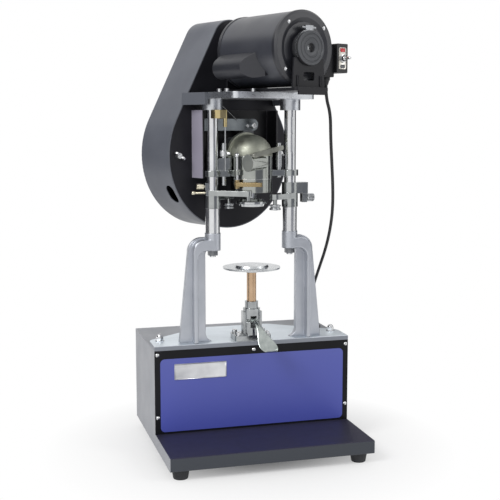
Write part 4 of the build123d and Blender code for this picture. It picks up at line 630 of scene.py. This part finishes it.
lathe(plain_knob, screw_section, Matrix.Translation((first_lug_x, head_y, 0.51675)) @ facing_left)
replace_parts(add_piece("first_knob_turned", plain_knob, knob_nickel, "first_operation"), "first_knob")
knurled_knob = bmesh.new()
knurl_section = [(0, 0), (0.0040, 0), (0.0040, 0.0020), (0.0068, 0.0020), (0.0080, 0.0030), (0.0080, 0.0150),
                 (0.0068, 0.0160), (0.0030, 0.0160), (0.0026, 0.0152), (0, 0.0152)]
flutes, knurl_root, flute_depth = 36, 0.0078, 0.92
lathe(knurled_knob, knurl_section, Matrix.Identity(4), steps=2 * flutes)
for corner in knurled_knob.verts:
    if corner.co.xy.length > knurl_root:
        spoke = round(math.atan2(corner.co.y, corner.co.x) * flutes / math.pi)
        if spoke % 2:
            corner.co.xy *= flute_depth
bmesh.ops.transform(knurled_knob, verts=knurled_knob.verts,
                    matrix=Matrix.Translation((0.113, head_y, 0.5038)) @ facing_right)
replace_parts(add_piece("second_knob_knurled", knurled_knob, steel, "second_operation"), "second_knob")


# Trip: a thin upright shaft with a ball, and an arm across the head's front.
# Chromed shaft, and a cast bronze arm with a turned collar over it.
dress("trip_shaft", chrome)
trip_bronze = bright_metal("trip_bronze", "93815f", "a5936f", gloss=0.26, cloud=0.02, stretch=(0.3, 1, 1),
                           relief=0.000002, edge=0.0014)
dress("trip_arm", trip_bronze)
trip_collar = bmesh.new()
trip_section = [(0.0027, 0), (0.0046, 0), (0.0050, 0.0004), (0.0050, 0.0040), (0.0046, 0.0044), (0.0027, 0.0044)]
lathe(trip_collar, trip_section, Matrix.Translation((-0.038, -0.048, 0.5381)), closed=True)
add_piece("trip_collar", trip_collar, trip_bronze, "trip")


# Lifter: a cast pedestal, a plunger through it, a round table on top and a lever with a spoon.
# Nickel-plated pedestal, copper-gold bronze plunger, turned steel table and polished spoon.
dress("pedestal", bright_metal("pedestal_nickel", "9c9fa0", "b1b4b5", gloss=0.20, cloud=0.02, stretch=(1, 1, 0.3),
                               relief=0.000003, edge=0.0016))
dress("plunger", bright_metal("plunger_bronze", "b89a7c", "c8ab8e", gloss=0.22, cloud=0.03, stretch=(1, 1, 0.1),
                              relief=0.000001))
dress("lifter_plate", bright_metal("table_steel", "b9bcbe", "cdd0d2", gloss=0.24, cloud=0.03, stretch=(1, 1, 0.1),
                                   relief=0.000003))
dress("hand_lever", bright_metal("spoon_steel", "8f9694", "b3b9b6", gloss=0.18, cloud=0.02, stretch=(1, 0.3, 0.3),
                                 relief=0.000004))


# Motor lead: a round cable that hangs from the terminal box to a gland on the cabinet's top.
# Black PVC, with a moulded strain relief at each end.
lead_route = [(0.11954, -0.10799, 0.7225), (0.11954, -0.10799, 0.6995), (0.1295, -0.107, 0.6689),
              (0.1315, -0.104, 0.6223), (0.137, -0.097, 0.5747), (0.143, -0.088, 0.5271), (0.1475, -0.076, 0.4849),
              (0.150, -0.057, 0.4442), (0.150, -0.031, 0.4006), (0.147, 0.003, 0.3530), (0.149, 0.040, 0.3133),
              (0.158, 0.072, 0.2845), (0.171, 0.092, 0.2637), (0.178, 0.097, 0.2449), (0.178, 0.097, 0.2265)]
lead = bent_tube("motor_lead", lead_route, radius=0.003, rounding=6, steps=10,
                 material=moulded("lead_jacket", "101012", "1a1a1d", gloss=0.4))
dress("cord_glands", moulded("gland_plastic", "121214", "1d1d20", gloss=0.45))
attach(lead, "frame")
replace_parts(lead, "cord")


# Studio floor: a matt white sheet that fades into a white backdrop.
# It keeps the machine's shadow near the feet and glows white further out.
def mix_shaders(tree, amount, first, second, output):
    """One shader fading into another, as the whole surface."""
    join = tree.nodes.new("ShaderNodeMixShader")
    tree.links.new(amount, join.inputs[0])
    tree.links.new(first.outputs[0], join.inputs[1])
    tree.links.new(second.outputs[0], join.inputs[2])
    tree.links.new(join.outputs[0], tree.nodes[output].inputs["Surface"])


floor_reach = 30
shadow_near, shadow_far = 0.08, 0.42
floor_mesh = bpy.data.meshes.new("studio_floor")
sheet = bmesh.new()
bmesh.ops.create_grid(sheet, x_segments=1, y_segments=1, size=floor_reach)
sheet.to_mesh(floor_mesh)
sheet.free()
floor = bpy.data.objects.new("studio_floor", floor_mesh)
bpy.context.scene.collection.objects.link(floor)
floor_paint = bpy.data.materials.new("studio_white")
floor_paint.use_nodes = True
tree = floor_paint.node_tree
matt = tree.nodes["Principled BSDF"]
matt.inputs["Base Color"].default_value = (0.93, 0.93, 0.93, 1)
matt.inputs["Roughness"].default_value = 0.9
matt.inputs["Specular IOR Level"].default_value = 0.1
glow = put(tree, "ShaderNodeEmission", Color=(1, 1, 1, 1), Strength=1.0)
centre = tree.nodes.new("ShaderNodeTexCoord")
distance = tree.nodes.new("ShaderNodeVectorMath")
distance.operation = "LENGTH"
tree.links.new(centre.outputs["Object"], distance.inputs[0])
mix_shaders(tree, past(tree, distance.outputs["Value"], shadow_near, shadow_far), matt, glow, "Material Output")
floor_mesh.materials.append(floor_paint)


# Dark cards: grey boards round the machine, which only reflections see.
# They give polished metal its dark bands and keep black paint black.
for name, place, wide, tall, paint in (("right_board", (0.93, -1.78, 0.96), 1.62, 1.68, "92949c"),
                                       ("left_board", (-2.05, 0.75, 0.93), 4.2, 1.74, "4b4c51"),
                                       ("far_right_board", (2.0, 1.30, 0.93), 3.4, 1.74, "4b4c51")):
    board_paint = bpy.data.materials.new(f"{name}_paint")
    board_paint.use_nodes = True
    card = board_paint.node_tree.nodes["Principled BSDF"]
    card.inputs["Base Color"].default_value = tone(paint)
    card.inputs["Specular IOR Level"].default_value = 0.0
    board_mesh = bpy.data.meshes.new(name)
    sheet = bmesh.new()
    bmesh.ops.create_grid(sheet, x_segments=1, y_segments=1, size=0.5)
    bmesh.ops.scale(sheet, vec=(wide, tall, 1), verts=sheet.verts)
    aimed = (Vector((0, 0, place[2])) - Vector(place)).to_track_quat("Z", "Y").to_matrix().to_4x4()
    bmesh.ops.transform(sheet, matrix=Matrix.Translation(place) @ aimed, verts=sheet.verts)
    sheet.to_mesh(board_mesh)
    sheet.free()
    board_mesh.materials.append(board_paint)
    board = bpy.data.objects.new(name, board_mesh)
    bpy.context.scene.collection.objects.link(board)
    board.visible_camera = board.visible_diffuse = board.visible_shadow = False


# Light: a soft key lamp on the left, a weak one on the right, and white all round.
# The camera and polished metal see the surroundings as white; matt surfaces get less light from them.
world = bpy.data.worlds.new("studio")
bpy.context.scene.world = world
world.use_nodes = True
tree = world.node_tree
ambient = tree.nodes["Background"]
ambient.inputs["Color"].default_value = (1, 1, 1, 1)
ambient.inputs["Strength"].default_value = 0.55
white = put(tree, "ShaderNodeBackground", Color=(1, 1, 1, 1), Strength=1.0)
ray = tree.nodes.new("ShaderNodeLightPath").outputs
seen = sum_up(tree, "MAXIMUM", ray["Is Camera Ray"], ray["Is Glossy Ray"])
seen = sum_up(tree, "MAXIMUM", seen, ray["Is Transmission Ray"])
mix_shaders(tree, seen, ambient, white, "World Output")
lamp_aim = Vector((0, 0, 0.4))
for name, place, size, power in (("key_lamp", (-1.9, -1.3, 2.1), 1.1, 42), ("right_lamp", (1.7, -1.6, 1.5), 1.0, 12)):
    lamp = bpy.data.lights.new(name, "AREA")
    lamp.size = size
    lamp.energy = power
    stand = bpy.data.objects.new(name, lamp)
    stand.location = place
    stand.rotation_euler = (lamp_aim - Vector(place)).to_track_quat("-Z", "Y").to_euler()
    bpy.context.scene.collection.objects.link(stand)
